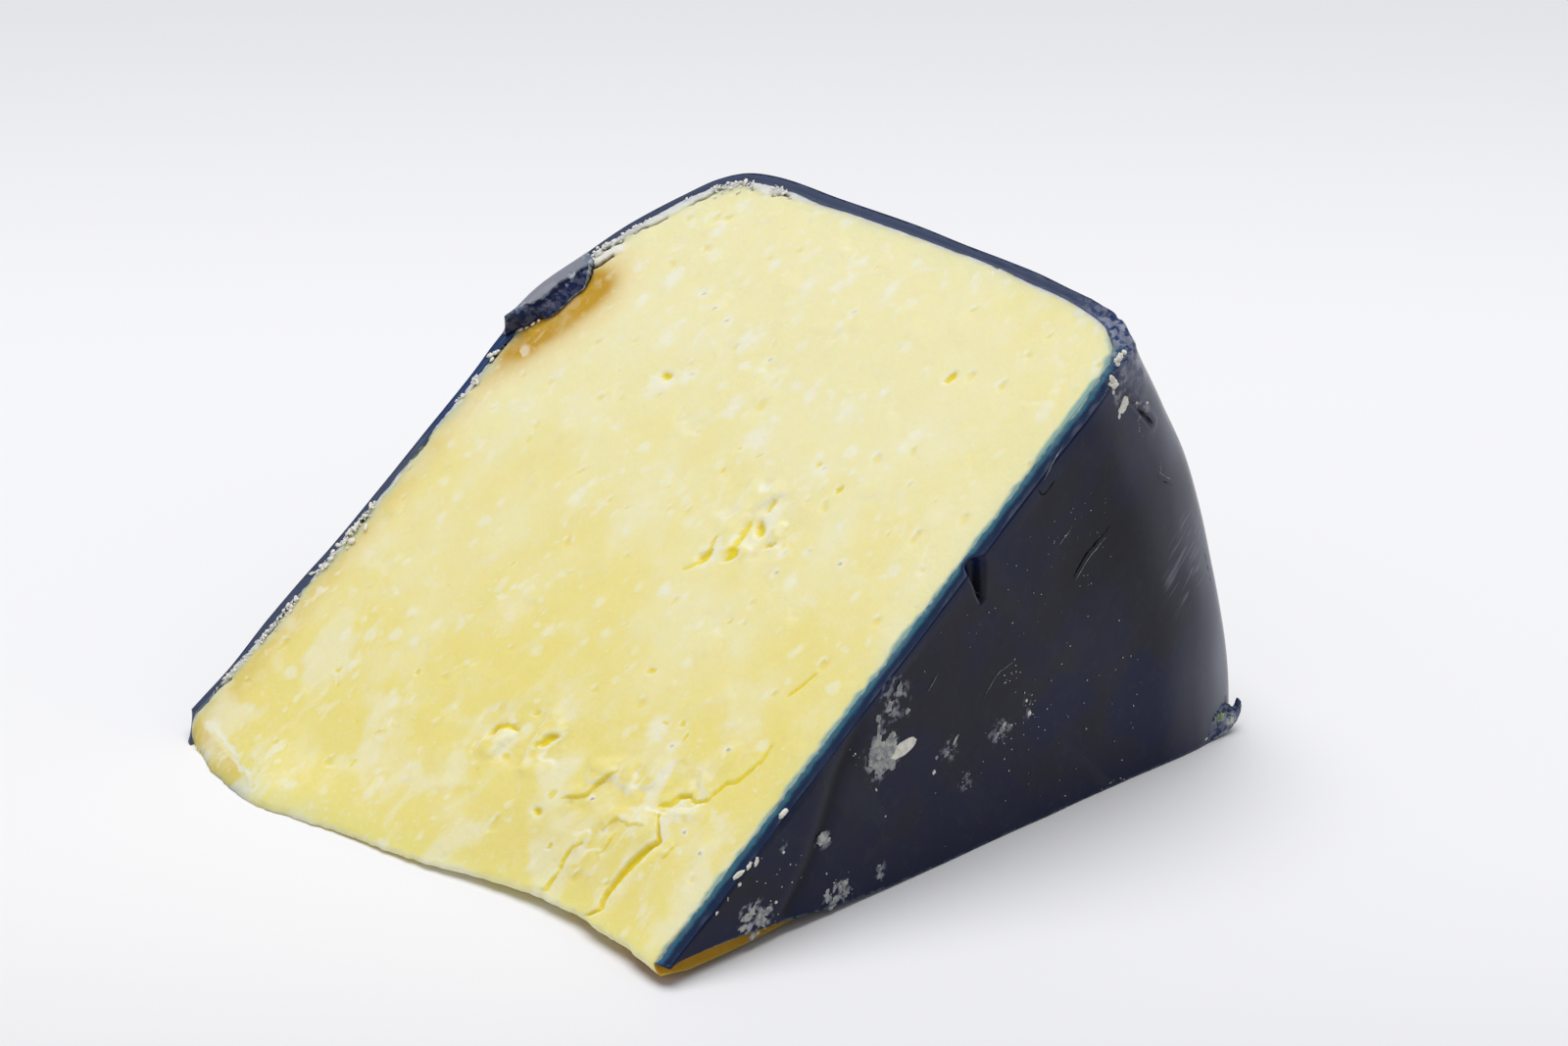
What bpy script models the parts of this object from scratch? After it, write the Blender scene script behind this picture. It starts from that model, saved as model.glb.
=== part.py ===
# Cheese wedge, cut from a waxed wheel that stands on its rim.
# X runs along the tip of the wedge, from one flat face of the wheel to the other,
# Y from the tip to the rim, Z up. The wheel's axis lies along X through the virtual tip line.
# Lengths are in millimetres here, and MM turns them into metres.
import math

import bmesh
import bpy
from mathutils import Vector

MM = 0.001

# wheel: corners of its profile as radius, position along the axis and rounding,
# from the middle of the left flat face, over the sloping shoulder and the rim, to the right face
WHEEL_PROFILE = (
    (0.0, -43.4, 0.0),
    (29.0, -41.8, 60.0),
    (70.5, -42.0, 25.0),
    (84.0, -37.0, 40.0),
    (97.3, -27.2, 11.0),
    (97.2, 6.0, 120.0),
    (95.3, 41.9, 8.0),
    (0.0, 41.9, 0.0),
)
TURN_STEPS = 72
ROUND_STEPS = 4

# wax coat
WAX_THICKNESS = 1.6 * MM
GAP = 0.3 * MM  # between the wax and the cheese

# slice
WEDGE_ANGLE = math.radians(35.6)
REST_START = 49.0 * MM  # from here to the rim the lower cut lies flat on the table
NOSE_LENGTH = 9.0 * MM  # the upper cut leaves its plane over this length at the tip
SLICE_REACH = 125.0 * MM  # the slice block runs past the rim
# the worn tip edge from left to right: x, then y and z of its foot, then y and z of its top
TIP_EDGE = (
    (-46.0, 3.4, 0.3, 4.9, 3.4),
    (-40.9, 2.1, 0.0, 4.1, 2.9),
    (-37.3, 1.0, 0.0, 2.9, 2.1),
    (-32.9, -0.6, 0.0, 2.1, 1.5),
    (-27.7, -1.7, 0.0, 0.2, 0.7),
    (-24.2, -2.2, 0.0, -1.8, 0.5),
    (-17.0, -1.1, 0.1, -0.8, 0.6),
    (-10.0, 0.2, 0.2, 0.4, 0.8),
    (1.0, 1.5, 0.5, 1.7, 1.1),
    (11.0, 3.8, 0.9, 4.0, 1.6),
    (18.0, 4.8, 1.2, 5.0, 1.9),
    (24.6, 5.0, 1.3, 5.1, 2.1),
    (28.2, 4.4, 1.4, 4.6, 2.3),
    (34.3, 3.6, 1.5, 3.8, 2.3),
    (38.8, 2.6, 1.5, 2.7, 2.1),
    (46.0, 2.8, 1.5, 3.0, 2.2),
)

# cracks that run in from the tip: x and distance from the tip line, on the upper cut
MAIN_CRACK = ((25.4, 2.0), (27.8, 6.9), (27.1, 8.5), (27.7, 11.3), (28.1, 13.3), (29.4, 16.2), (27.6, 18.4))
MAIN_CRACK_WIDTH = 1.1 * MM
MAIN_CRACK_DEPTH = 5.0 * MM
SIDE_CRACK = ((16.6, 1.5), (19.0, 6.9), (19.2, 9.0), (18.9, 11.1), (20.0, 12.6))
SIDE_CRACK_WIDTH = 0.5 * MM
SIDE_CRACK_DEPTH = 1.6 * MM

# openings in the curd on the upper cut: x, distance from the tip line, length and width
EYES = (
    (-15.1, 67.6, 1.9, 1.2),
    (21.4, 80.5, 1.8, 1.3),
    (11.9, 54.4, 3.4, 1.6),
    (8.6, 51.0, 3.0, 1.3),
    (5.2, 48.0, 2.6, 1.0),
    (18.4, 62.2, 1.5, 1.0),
    (0.1, 19.7, 3.2, 1.5),
    (6.3, 21.2, 2.9, 2.1),
    (12.0, 13.2, 1.9, 1.2),
    (32.2, 39.0, 3.6, 0.8),
)
EYE_LEAN = math.radians(50.0)  # long axis from X, on the cut

# wax pushed over the cut on the left: from one end to the other along the cut edge
FLAP_START = (-41.8, 65.2)
FLAP_END = (-39.0, 77.0)
FLAP_REACH = 6.2 * MM  # how far it leans over the cheese
FLAP_HEIGHT = 2.5 * MM
FLAP_CLEARANCE = 0.7 * MM  # under its free edge
FLAP_THICKNESS = 0.9 * MM
FLAP_ROOT = 0.3 * MM  # how far its fixed edge sits below the cut, in the wax

# nick in the right face of the wax, down from the cut edge
NICK_FOOT = (41.9, 49.5, 30.9)
NICK_TOP = (42.4, 49.0, 38.0)
NICK_WIDTH = 4.6 * MM
NICK_DEPTH = 1.5 * MM

# curled shaving of wax at the foot of the rim
BURR_PATH = ((37.0, 93.9, 0.9), (39.3, 94.6, 0.9), (40.5, 95.4, 1.6), (40.3, 96.0, 2.7))
BURR_RADIUS = 0.75 * MM


def collection(name):
    made = bpy.data.collections.new(name)
    bpy.context.scene.collection.children.link(made)
    return made


def clear_scene():
    for old in list(bpy.data.objects):
        bpy.data.objects.remove(old, do_unlink=True)


def material(name, color, roughness):
    made = bpy.data.materials.new(name)
    made.use_nodes = True
    shader = made.node_tree.nodes["Principled BSDF"]
    shader.inputs["Base Color"].default_value = (*color, 1.0)
    shader.inputs["Roughness"].default_value = roughness
    shader.inputs["Metallic"].default_value = 0.0
    made.diffuse_color = (*color, 1.0)
    return made


def add_object(name, mesh, target):
    made = bpy.data.objects.new(name, mesh)
    target.objects.link(made)
    made.parent = frame
    return made


def add_cutter(name, mesh):
    made = add_object(name, mesh, cutters)
    made.hide_render = True
    made.display_type = "WIRE"
    return made


def mesh_from(bm, name):
    bmesh.ops.recalc_face_normals(bm, faces=bm.faces)
    mesh = bpy.data.meshes.new(name)
    bm.to_mesh(mesh)
    bm.free()
    return mesh


def boolean(target, operation, other):
    step = target.modifiers.new(f"{operation.lower()}_{other.name}", "BOOLEAN")
    step.operation = operation
    step.solver = "EXACT"
    step.object = other


def eased(t):
    # 1 at t = 0, falling smoothly to 0 at t = 1
    t = min(max(t, 0.0), 1.0)
    return 0.5 * (1.0 + math.cos(math.pi * t))


def inset_profile(inset):
    # the wheel's profile moved in by inset, as (point, rounding) for each corner
    corners = [Vector((radius, along)) * MM for radius, along, _ in WHEEL_PROFILE]
    rounding = [corner[2] * MM for corner in WHEEL_PROFILE]
    edges = []
    for start, end in zip(corners, corners[1:]):
        along = (end - start).normalized()
        inward = Vector((-along.y, along.x))
        edges.append((start + inward * inset, end + inward * inset))
    axis = (Vector((0.0, -1.0)), Vector((0.0, 1.0)))
    walls = [axis, *edges, axis]
    moved = [intersect_lines(near, far) for near, far in zip(walls, walls[1:])]
    return [(point, max(radius - inset, 0.0)) for point, radius in zip(moved, rounding)]


def intersect_lines(near, far):
    # where two lines in the plane, each given by two points, meet
    along_near = near[1] - near[0]
    along_far = far[1] - far[0]
    cross = along_near.x * along_far.y - along_near.y * along_far.x
    between = far[0] - near[0]
    return near[0] + along_near * ((between.x * along_far.y - between.y * along_far.x) / cross)


def rounded(corners):
    # points of a polyline whose corners are replaced by arcs
    points = []
    for index, (corner, radius) in enumerate(corners):
        if radius == 0.0:
            points.append(corner)
            continue
        to_last = (corners[index - 1][0] - corner).normalized()
        to_next = (corners[index + 1][0] - corner).normalized()
        half = to_last.angle(to_next) / 2.0
        centre = corner + (to_last + to_next).normalized() * (radius / math.sin(half))
        reach = radius / math.tan(half)
        start = corner + to_last * reach - centre
        end = corner + to_next * reach - centre
        sweep = start.angle(end)
        steps = max(1, round(ROUND_STEPS * sweep / (math.pi / 2.0)) + 1)
        for step in range(steps + 1):
            # an arc between two spokes of the same length
            share = step / steps
            arm = start * math.sin(sweep * (1.0 - share)) + end * math.sin(sweep * share)
            points.append(centre + arm / math.sin(sweep))
    return points


def wheel(name, inset):
    # a whole turned wheel; its profile runs down the outer side
    bm = bmesh.new()
    last = None
    for point in reversed(rounded(inset_profile(inset))):
        vert = bm.verts.new((point.x, 0.0, point.y))
        if last:
            bm.edges.new((last, vert))
        last = vert
    mesh = bpy.data.meshes.new(name)
    bm.to_mesh(mesh)
    bm.free()
    made = add_cutter(name, mesh)
    turn = made.modifiers.new("turned", "SCREW")
    turn.axis = "Z"
    turn.angle = math.tau
    turn.steps = TURN_STEPS
    turn.render_steps = TURN_STEPS
    turn.use_merge_vertices = True
    turn.merge_threshold = 0.00001
    made.rotation_euler = (0.0, math.pi / 2.0, 0.0)
    return made


def slice_outline(foot_y, foot_z, top_y, top_z):
    # one section of the slice, square to the tip line, from the rim along the lower cut and back
    slope = math.tan(WEDGE_ANGLE)
    points = [(SLICE_REACH, 0.0)]
    for step in range(6):
        along = 1.0 - step / 5.0
        y = foot_y + (REST_START - foot_y) * along
        points.append((y, foot_z * eased(along)))
    for step in range(5):
        along = step / 4.0
        y = top_y + NOSE_LENGTH * along
        points.append((y, y * slope + (top_z - top_y * slope) * eased(along)))
    points.append((SLICE_REACH, SLICE_REACH * slope))
    return points


def slice_block(name):
    # a loft from one section of the slice to the next along the tip edge
    bm = bmesh.new()
    rings = []
    for x, *edge in TIP_EDGE:
        outline = slice_outline(*(value * MM for value in edge))
        rings.append([bm.verts.new((x * MM, y, z)) for y, z in outline])
    for ring, after in zip(rings, rings[1:]):
        for index in range(len(ring)):
            near = index - 1
            bm.faces.new((ring[near], ring[index], after[index], after[near]))
    bm.faces.new(rings[0])
    bm.faces.new(rings[-1])
    return mesh_from(bm, name)


def on_cut(made):
    # turns an object made flat, with Y away from the tip and Z off the cut, onto the upper cut
    made.rotation_euler = (WEDGE_ANGLE, 0.0, 0.0)
    return made


def crack_cutter(name, path, width, depth):
    # a zigzag that narrows to its inner end, cut straight down
    points = [Vector(point) * MM for point in path]
    left = []
    right = []
    for index, point in enumerate(points):
        before = points[max(index - 1, 0)]
        after = points[min(index + 1, len(points) - 1)]
        along = (after - before).normalized()
        side = Vector((-along.y, along.x))
        half = width / 2.0 * (1.0 - 0.8 * index / (len(points) - 1))
        left.append(point + side * half)
        right.append(point - side * half)
    bm = bmesh.new()
    outline = [bm.verts.new((p.x, p.y, 2.0 * MM)) for p in left + right[::-1]]
    face = bm.faces.new(outline)
    grown = bmesh.ops.extrude_face_region(bm, geom=[face])
    moved = [part for part in grown["geom"] if isinstance(part, bmesh.types.BMVert)]
    bmesh.ops.translate(bm, verts=moved, vec=(0.0, 0.0, -depth - 2.0 * MM))
    return on_cut(add_cutter(name, mesh_from(bm, name)))


def eye_cutters(name):
    bm = bmesh.new()
    for x, out, length, width in EYES:
        made = bmesh.ops.create_icosphere(bm, subdivisions=1, radius=0.5 * MM)
        bmesh.ops.scale(bm, vec=(length, width, width * 1.3), verts=made["verts"])
        for vert in made["verts"]:
            # a curd opening is lopsided, one end fuller than the other
            vert.co.y += 0.25 * vert.co.x
        turned = Vector((math.cos(EYE_LEAN), math.sin(EYE_LEAN)))
        for vert in made["verts"]:
            long, across = vert.co.x, vert.co.y
            vert.co.x = x * MM + long * turned.x - across * turned.y
            vert.co.y = out * MM + long * turned.y + across * turned.x
    return on_cut(add_cutter(name, mesh_from(bm, name)))


def flap(name):
    # a tongue of wax that rises from the cut edge, rolls over and hangs above the cheese
    start = Vector(FLAP_START) * MM
    end = Vector(FLAP_END) * MM
    along = (end - start).normalized()
    inward = Vector((along.y, -along.x))
    columns, rows = 8, 6
    bm = bmesh.new()
    bmesh.ops.create_grid(bm, x_segments=columns, y_segments=rows, size=0.5)
    for vert in bm.verts:
        u = vert.co.x + 0.5
        v = vert.co.y + 0.5
        swell = 0.55 + 0.45 * math.sin(math.pi * min(1.0, 0.15 + 0.75 * u))
        reach = FLAP_REACH * swell * v
        rise = FLAP_HEIGHT * swell * math.sin(math.pi * 0.88 * v) + FLAP_CLEARANCE * v
        place = start + (end - start) * u + inward * reach
        vert.co = (place.x, place.y, rise + FLAP_THICKNESS / 2.0 * v - FLAP_ROOT * (1.0 - v))
    made = on_cut(add_cutter(name, mesh_from(bm, name)))
    shell = made.modifiers.new("thickness", "SOLIDIFY")
    shell.thickness = FLAP_THICKNESS
    shell.offset = 0.0
    return made


def nick_cutter(name):
    # a four-sided spike, point down against the outside of the wax
    foot = Vector(NICK_FOOT) * MM
    top = Vector(NICK_TOP) * MM
    bm = bmesh.new()
    bmesh.ops.create_cone(bm, cap_ends=True, segments=4, radius1=0.0, radius2=0.5, depth=1.0)
    for vert in bm.verts:
        centre = foot.lerp(top, vert.co.z + 0.5)
        vert.co = (centre.x + vert.co.x * 2.0 * NICK_DEPTH, centre.y + vert.co.y * NICK_WIDTH, centre.z)
    return add_cutter(name, mesh_from(bm, name))


def burr(name):
    # a tapering curl on a short path
    path = bpy.data.curves.new(name, "CURVE")
    path.dimensions = "3D"
    path.bevel_depth = BURR_RADIUS
    path.bevel_resolution = 1
    path.use_fill_caps = True
    line = path.splines.new("POLY")
    line.points.add(len(BURR_PATH) - 1)
    for index, point in enumerate(BURR_PATH):
        line.points[index].co = (*(Vector(point) * MM), 1.0)
        line.points[index].radius = 1.0 - 0.6 * index / (len(BURR_PATH) - 1)
    curve = add_object(name + "_path", path, cutters)
    mesh = bpy.data.meshes.new_from_object(curve.evaluated_get(bpy.context.evaluated_depsgraph_get()))
    bpy.data.objects.remove(curve)
    bm = bmesh.new()
    bm.from_mesh(mesh)
    bmesh.ops.remove_doubles(bm, verts=bm.verts, dist=0.00001)
    bpy.data.meshes.remove(mesh)
    return add_cutter(name, mesh_from(bm, name))


def stand_on_origin(nodes):
    # puts the bottom centre of the whole wedge at the world origin
    depsgraph = bpy.context.evaluated_depsgraph_get()
    corners = []
    for node in nodes:
        done = node.evaluated_get(depsgraph)
        mesh = done.to_mesh()
        corners += [done.matrix_world @ vert.co for vert in mesh.vertices]
        done.to_mesh_clear()
    low = [min(point[axis] for point in corners) for axis in range(3)]
    high = [max(point[axis] for point in corners) for axis in range(3)]
    frame.location = (-(low[0] + high[0]) / 2.0, -(low[1] + high[1]) / 2.0, -low[2])


clear_scene()
parts = collection("cheese_wedge")
cutters = collection("cutters")
frame = bpy.data.objects.new("wedge_frame", None)
parts.objects.link(frame)

cheese = add_object("cheese", slice_block("cheese"), parts)
cheese.data.materials.append(material("cheese", (0.86, 0.76, 0.42), 0.55))
boolean(cheese, "INTERSECT", wheel("cheese_wheel", WAX_THICKNESS + GAP))
boolean(cheese, "DIFFERENCE", crack_cutter("main_crack", MAIN_CRACK, MAIN_CRACK_WIDTH, MAIN_CRACK_DEPTH))
boolean(cheese, "DIFFERENCE", crack_cutter("side_crack", SIDE_CRACK, SIDE_CRACK_WIDTH, SIDE_CRACK_DEPTH))
boolean(cheese, "DIFFERENCE", eye_cutters("eyes"))

wax = add_object("wax_coat", slice_block("wax_coat"), parts)
wax.data.materials.append(material("navy_wax", (0.022, 0.026, 0.045), 0.35))
boolean(wax, "INTERSECT", wheel("waxed_wheel", 0.0))
boolean(wax, "DIFFERENCE", wheel("wax_inside", WAX_THICKNESS))
boolean(wax, "DIFFERENCE", nick_cutter("nick"))
boolean(wax, "UNION", flap("flap"))
boolean(wax, "UNION", burr("burr"))

bpy.context.view_layer.update()
stand_on_origin((cheese, wax))
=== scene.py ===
import math

import bpy
import numpy as np
from mathutils import Matrix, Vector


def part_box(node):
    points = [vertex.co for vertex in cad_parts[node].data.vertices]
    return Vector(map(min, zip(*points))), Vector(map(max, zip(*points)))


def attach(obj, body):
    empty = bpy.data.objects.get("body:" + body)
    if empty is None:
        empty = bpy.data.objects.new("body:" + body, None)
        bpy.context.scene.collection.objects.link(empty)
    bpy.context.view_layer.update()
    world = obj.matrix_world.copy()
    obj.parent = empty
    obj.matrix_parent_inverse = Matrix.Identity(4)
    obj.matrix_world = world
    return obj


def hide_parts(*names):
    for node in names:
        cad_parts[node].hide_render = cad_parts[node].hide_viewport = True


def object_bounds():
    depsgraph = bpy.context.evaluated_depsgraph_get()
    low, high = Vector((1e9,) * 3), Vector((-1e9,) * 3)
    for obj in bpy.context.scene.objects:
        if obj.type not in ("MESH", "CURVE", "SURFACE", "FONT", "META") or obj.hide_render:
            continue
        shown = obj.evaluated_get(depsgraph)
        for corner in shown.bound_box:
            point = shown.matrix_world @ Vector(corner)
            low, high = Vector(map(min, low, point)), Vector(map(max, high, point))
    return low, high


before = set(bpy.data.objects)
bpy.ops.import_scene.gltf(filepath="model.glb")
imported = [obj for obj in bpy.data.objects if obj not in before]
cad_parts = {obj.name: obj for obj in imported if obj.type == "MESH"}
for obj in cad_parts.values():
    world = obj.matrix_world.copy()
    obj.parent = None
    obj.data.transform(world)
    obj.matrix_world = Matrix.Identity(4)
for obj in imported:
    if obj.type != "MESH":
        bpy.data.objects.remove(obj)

# The wedge stands with its tip line along X. Shapes are worked out in millimetres from that
# line: x along it, y out towards the rim, z up, and "out" the distance from it along the cut.
mm = 0.001
cadLow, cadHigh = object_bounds()
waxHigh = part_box("wax_coat")[1]
wedge = {
    "cutAngle": math.radians(35.6),
    "rightFace": 41.9,  # the plain face of the wheel
    "rimReach": 97.28,
    "restStart": 49.0,  # the lower cut lies on the table from here to the rim
    "noseLength": 9.0,  # the upper cut bends down to the worn tip over this length
}
slope = math.tan(wedge["cutAngle"])
cutCos, cutSin = math.cos(wedge["cutAngle"]), math.sin(wedge["cutAngle"])
tipLine = np.array([waxHigh.x - wedge["rightFace"] * mm, cadHigh.y - wedge["rimReach"] * mm, cadLow.z])

# the worn tip edge from left to right: its foot on the lower cut and its top on the upper cut
tipEdge = {
    "x": (
        -46.0, -40.9, -37.3, -32.9, -27.7, -24.2, -17.0, -10.0, 1.0, 11.0, 18.0, 24.6, 28.2, 34.3, 38.8,
        46.0,
    ),
    "footY": (3.4, 2.1, 1.0, -0.6, -1.7, -2.2, -1.1, 0.2, 1.5, 3.8, 4.8, 5.0, 4.4, 3.6, 2.6, 2.8),
    "footZ": (0.3, 0.0, 0.0, 0.0, 0.0, 0.0, 0.1, 0.2, 0.5, 0.9, 1.2, 1.3, 1.4, 1.5, 1.5, 1.5),
    "topY": (4.9, 4.1, 2.9, 2.1, 0.2, -1.8, -0.8, 0.4, 1.7, 4.0, 5.0, 5.1, 4.6, 3.8, 2.7, 3.0),
    "topZ": (3.4, 2.9, 2.1, 1.5, 0.7, 0.5, 0.6, 0.8, 1.1, 1.6, 1.9, 2.1, 2.3, 2.3, 2.1, 2.2),
}

# section of the wheel on the upper cut, from the tip up the left face, over the rim and back
# down the right face: x and out of the wax's outside, then of its inside
section = {
    "line": (
        (-43.2, 5.3, -42.3, 4.95), (-43.0, 7.3, -42.1, 7.3), (-42.5, 12.0, -41.7, 12.0),
        (-42.65, 18.5, -41.2, 18.5), (-42.4, 25.8, -41.0, 25.8), (-42.0, 30.5, -40.8, 30.5),
        (-41.8, 39.9, -40.7, 39.9), (-41.8, 50.0, -40.7, 50.0), (-41.8, 58.6, -40.6, 58.6),
        (-42.1, 63.3, -40.6, 63.3), (-41.6, 73.0, -40.0, 73.0), (-39.5, 78.5, -38.4, 78.3),
        (-36.8, 84.2, -35.4, 84.0), (-34.5, 87.7, -33.3, 87.2), (-32.1, 90.9, -31.1, 90.2),
        (-29.5, 94.0, -28.8, 92.7), (-26.2, 96.2, -25.6, 94.8), (-22.0, 97.15, -21.7, 95.65),
        (-10.0, 97.2, -10.0, 95.7), (3.0, 97.2, 3.0, 95.7), (10.0, 96.9, 10.0, 95.6),
        (17.8, 96.7, 17.8, 95.4), (22.6, 96.5, 22.4, 95.0), (27.6, 96.0, 27.3, 94.6),
        (32.5, 95.5, 31.9, 93.9), (37.7, 94.1, 36.2, 92.6), (41.0, 91.6, 38.9, 90.2),
        (41.9, 87.5, 39.7, 86.2), (41.9, 74.0, 39.8, 74.0), (41.9, 60.0, 39.8, 60.0),
        (41.9, 45.0, 39.8, 45.0), (41.9, 30.0, 39.8, 30.0), (41.9, 15.0, 39.8, 15.0),
        (41.9, 3.55, 39.8, 3.4),
    ),
    "leftCorner": 14,  # steps of the line where the cheese's left and right sides meet its rim
    "rightCorner": 25,
}


def through(at, knots, values):
    # cubic through the knots, the slope at each the mean of the rises before and after it
    knots, values = np.asarray(knots, float), np.asarray(values, float)
    step = np.diff(knots)
    rises = np.diff(values) / step
    slopes = np.concatenate([rises[:1], (rises[1:] + rises[:-1]) / 2, rises[-1:]])
    i = np.clip(np.searchsorted(knots, at) - 1, 0, len(knots) - 2)
    t = np.clip((at - knots[i]) / step[i], 0, 1)
    near, far = 1 - t, t
    return (values[i] * near * near * (1 + 2 * t) + values[i + 1] * far * far * (3 - 2 * t)
            + slopes[i] * step[i] * t * near * near - slopes[i + 1] * step[i] * far * far * near)


def fade(t):
    # 1 at t = 0, falling along half a cosine to 0 at t = 1
    return 0.5 * (1 + np.cos(np.pi * np.clip(t, 0, 1)))


def ramp(low, high, value):
    # 0 below low and 1 above high, with the cubic 3tt - 2ttt between
    t = np.clip((value - low) / (high - low), 0, 1)
    return t * t * (3 - 2 * t)


def tipAt(name, x):
    # y or z of the worn tip's foot or top at x, a cubic through its knots
    return through(x, tipEdge["x"], tipEdge[name])


def upperCut(x, y):
    # the slope of the cut, moved to the worn tip's top and easing back over the nose length
    topY = tipAt("topY", x)
    return y * slope + (tipAt("topZ", x) - topY * slope) * fade((y - topY) / wedge["noseLength"])


def lowerCut(x, y):
    # the raised foot of the tip, easing down to the table
    footY = tipAt("footY", x)
    return tipAt("footZ", x) * fade((y - footY) / (wedge["restStart"] - footY))


def cellValue(column, row, seed):
    # the bits of three whole numbers mixed into a value from 0 to 1
    mixed = (column * 374761393 + row * 668265263 + seed * 974634777) & 0xFFFFFFFF
    mixed = ((mixed ^ (mixed >> 13)) * 1274126177) & 0xFFFFFFFF
    return ((mixed ^ (mixed >> 16)) & 0xFFFFFFFF) / 4294967295.0


def softNoise(x, y, seed):
    # values of the four cell corners blended by the cubic 3tt - 2ttt both ways, from -1 to 1
    column, row = np.floor(x).astype(np.int64), np.floor(y).astype(np.int64)
    across, up = x - column, y - row
    across, up = across * across * (3 - 2 * across), up * up * (3 - 2 * up)
    low = cellValue(column, row, seed) * (1 - across) + cellValue(column + 1, row, seed) * across
    high = cellValue(column, row + 1, seed) * (1 - across) + cellValue(column + 1, row + 1, seed) * across
    return 2 * (low * (1 - up) + high * up) - 1


def roughNoise(x, y, seed, octaves):
    # soft noise added to itself, each time twice as fine and half as high
    total = sum(softNoise(x * 2**k, y * 2**k, seed + 17 * k) / 2**k for k in range(octaves))
    return total / (2 - 0.5 ** (octaves - 1))


def spots(x, y, pitch, share, small, large, seed):
    # a spot in some cells of a jittered grid: 1 at its middle, falling as 1 - dd to 0 at its edge
    column, row = np.floor(x / pitch).astype(np.int64), np.floor(y / pitch).astype(np.int64)
    best = np.zeros(np.broadcast(x, y).shape)
    for across in (-1, 0, 1):
        for up in (-1, 0, 1):
            c, r = column + across, row + up
            size = small + (large - small) * cellValue(c, r, seed + 1) ** 2
            dx = x / pitch - c - cellValue(c, r, seed + 2)
            dy = y / pitch - r - cellValue(c, r, seed + 3)
            inside = 1 - (dx * dx + dy * dy) * (pitch / size) ** 2
            best = np.maximum(best, np.where(cellValue(c, r, seed) < share, inside, 0))
    return best


def toLine(x, y, line):
    # distance to the nearest point of a bent line, where that is along it, and the side it is on
    line = np.asarray(line, float)
    lengths = np.hypot(*np.diff(line, axis=0).T)
    starts = np.concatenate([[0], np.cumsum(lengths)])
    best = np.full(np.broadcast(x, y).shape, 1e9)
    place, side = np.zeros_like(best), np.zeros_like(best)
    for (ax, ay), (bx, by), length, start in zip(line[:-1], line[1:], lengths, starts):
        tx, ty = (bx - ax) / length, (by - ay) / length
        t = np.clip((x - ax) * tx + (y - ay) * ty, 0, length)
        distance = np.hypot(x - ax - tx * t, y - ay - ty * t)
        nearer = distance < best
        best = np.where(nearer, distance, best)
        place = np.where(nearer, (start + t) / starts[-1], place)
        side = np.where(nearer, np.sign(tx * (y - ay) - ty * (x - ax)), side)
    return best, place, side


def spread(low, high, pitch, count):
    # count + 1 places from low to high, whose spacing follows pitch(place)
    fine = np.linspace(low, high, 6001)
    total = np.concatenate([[0], np.cumsum(1 / pitch((fine[1:] + fine[:-1]) / 2))])
    return np.interp(np.linspace(0, total[-1], count + 1), total, fine)


def inFrame(points):
    # millimetres from the tip line to metres in the row frame
    return np.asarray(points, float).reshape(-1, 3) * mm + tipLine


def gridFaces(rows, columns, wrapRows=False):
    # corners of the quads of a grid whose points run along each row in turn
    i = np.arange(rows if wrapRows else rows - 1)[:, None]
    j = np.arange(columns - 1)[None, :]
    near, far = i * columns + j, (i + 1) % rows * columns + j
    return np.stack([near, near + 1, far + 1, far], -1).reshape(-1, 4)


def shareAlong(points):
    # how far along a chain of points each one is, from 0 to 1
    lengths = np.concatenate([[0], np.cumsum(np.linalg.norm(np.diff(points, axis=0), axis=1))])
    return lengths / lengths[-1]


def zipFaces(near, far, nearPlace, farPlace):
    # triangles between two chains of points, merged in the order of their places from 0 to 1
    nearMid, farMid = (nearPlace[1:] + nearPlace[:-1]) / 2, (farPlace[1:] + farPlace[:-1]) / 2
    j = np.searchsorted(farMid, nearMid)
    i = np.searchsorted(nearMid, farMid, side="right")
    fromNear = np.stack([near[:-1], near[1:], far[j]], -1)
    return np.concatenate([fromNear, np.stack([far[1:], far[:-1], near[i]], -1)])


def closeSides(points, chain, other, turned):
    # triangles over the two open ends of a wrapped grid, between two chains of its rows; turned says
    # whether it is the first end or the last whose triangles are turned round
    columns, flat = points.shape[1], points.reshape(-1, 3)
    made = []
    for column in (0, columns - 1):
        near, far = chain * columns + column, other * columns + column
        faces = zipFaces(near, far, shareAlong(flat[near]), shareAlong(flat[far]))
        made.append(faces[:, ::-1] if (column == 0) == turned else faces)
    return np.concatenate(made)


def copyFaces(faces, size, count):
    # the same faces for each of count copies of a shape with size points
    return (faces[None] + (np.arange(count) * size)[:, None, None]).reshape(-1, faces.shape[1])


def bothSides(front, back=0.0):
    # a value on a sheet's front, and one number all over its back
    return np.concatenate([front.ravel(), np.full(front.size, float(back))])


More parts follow.
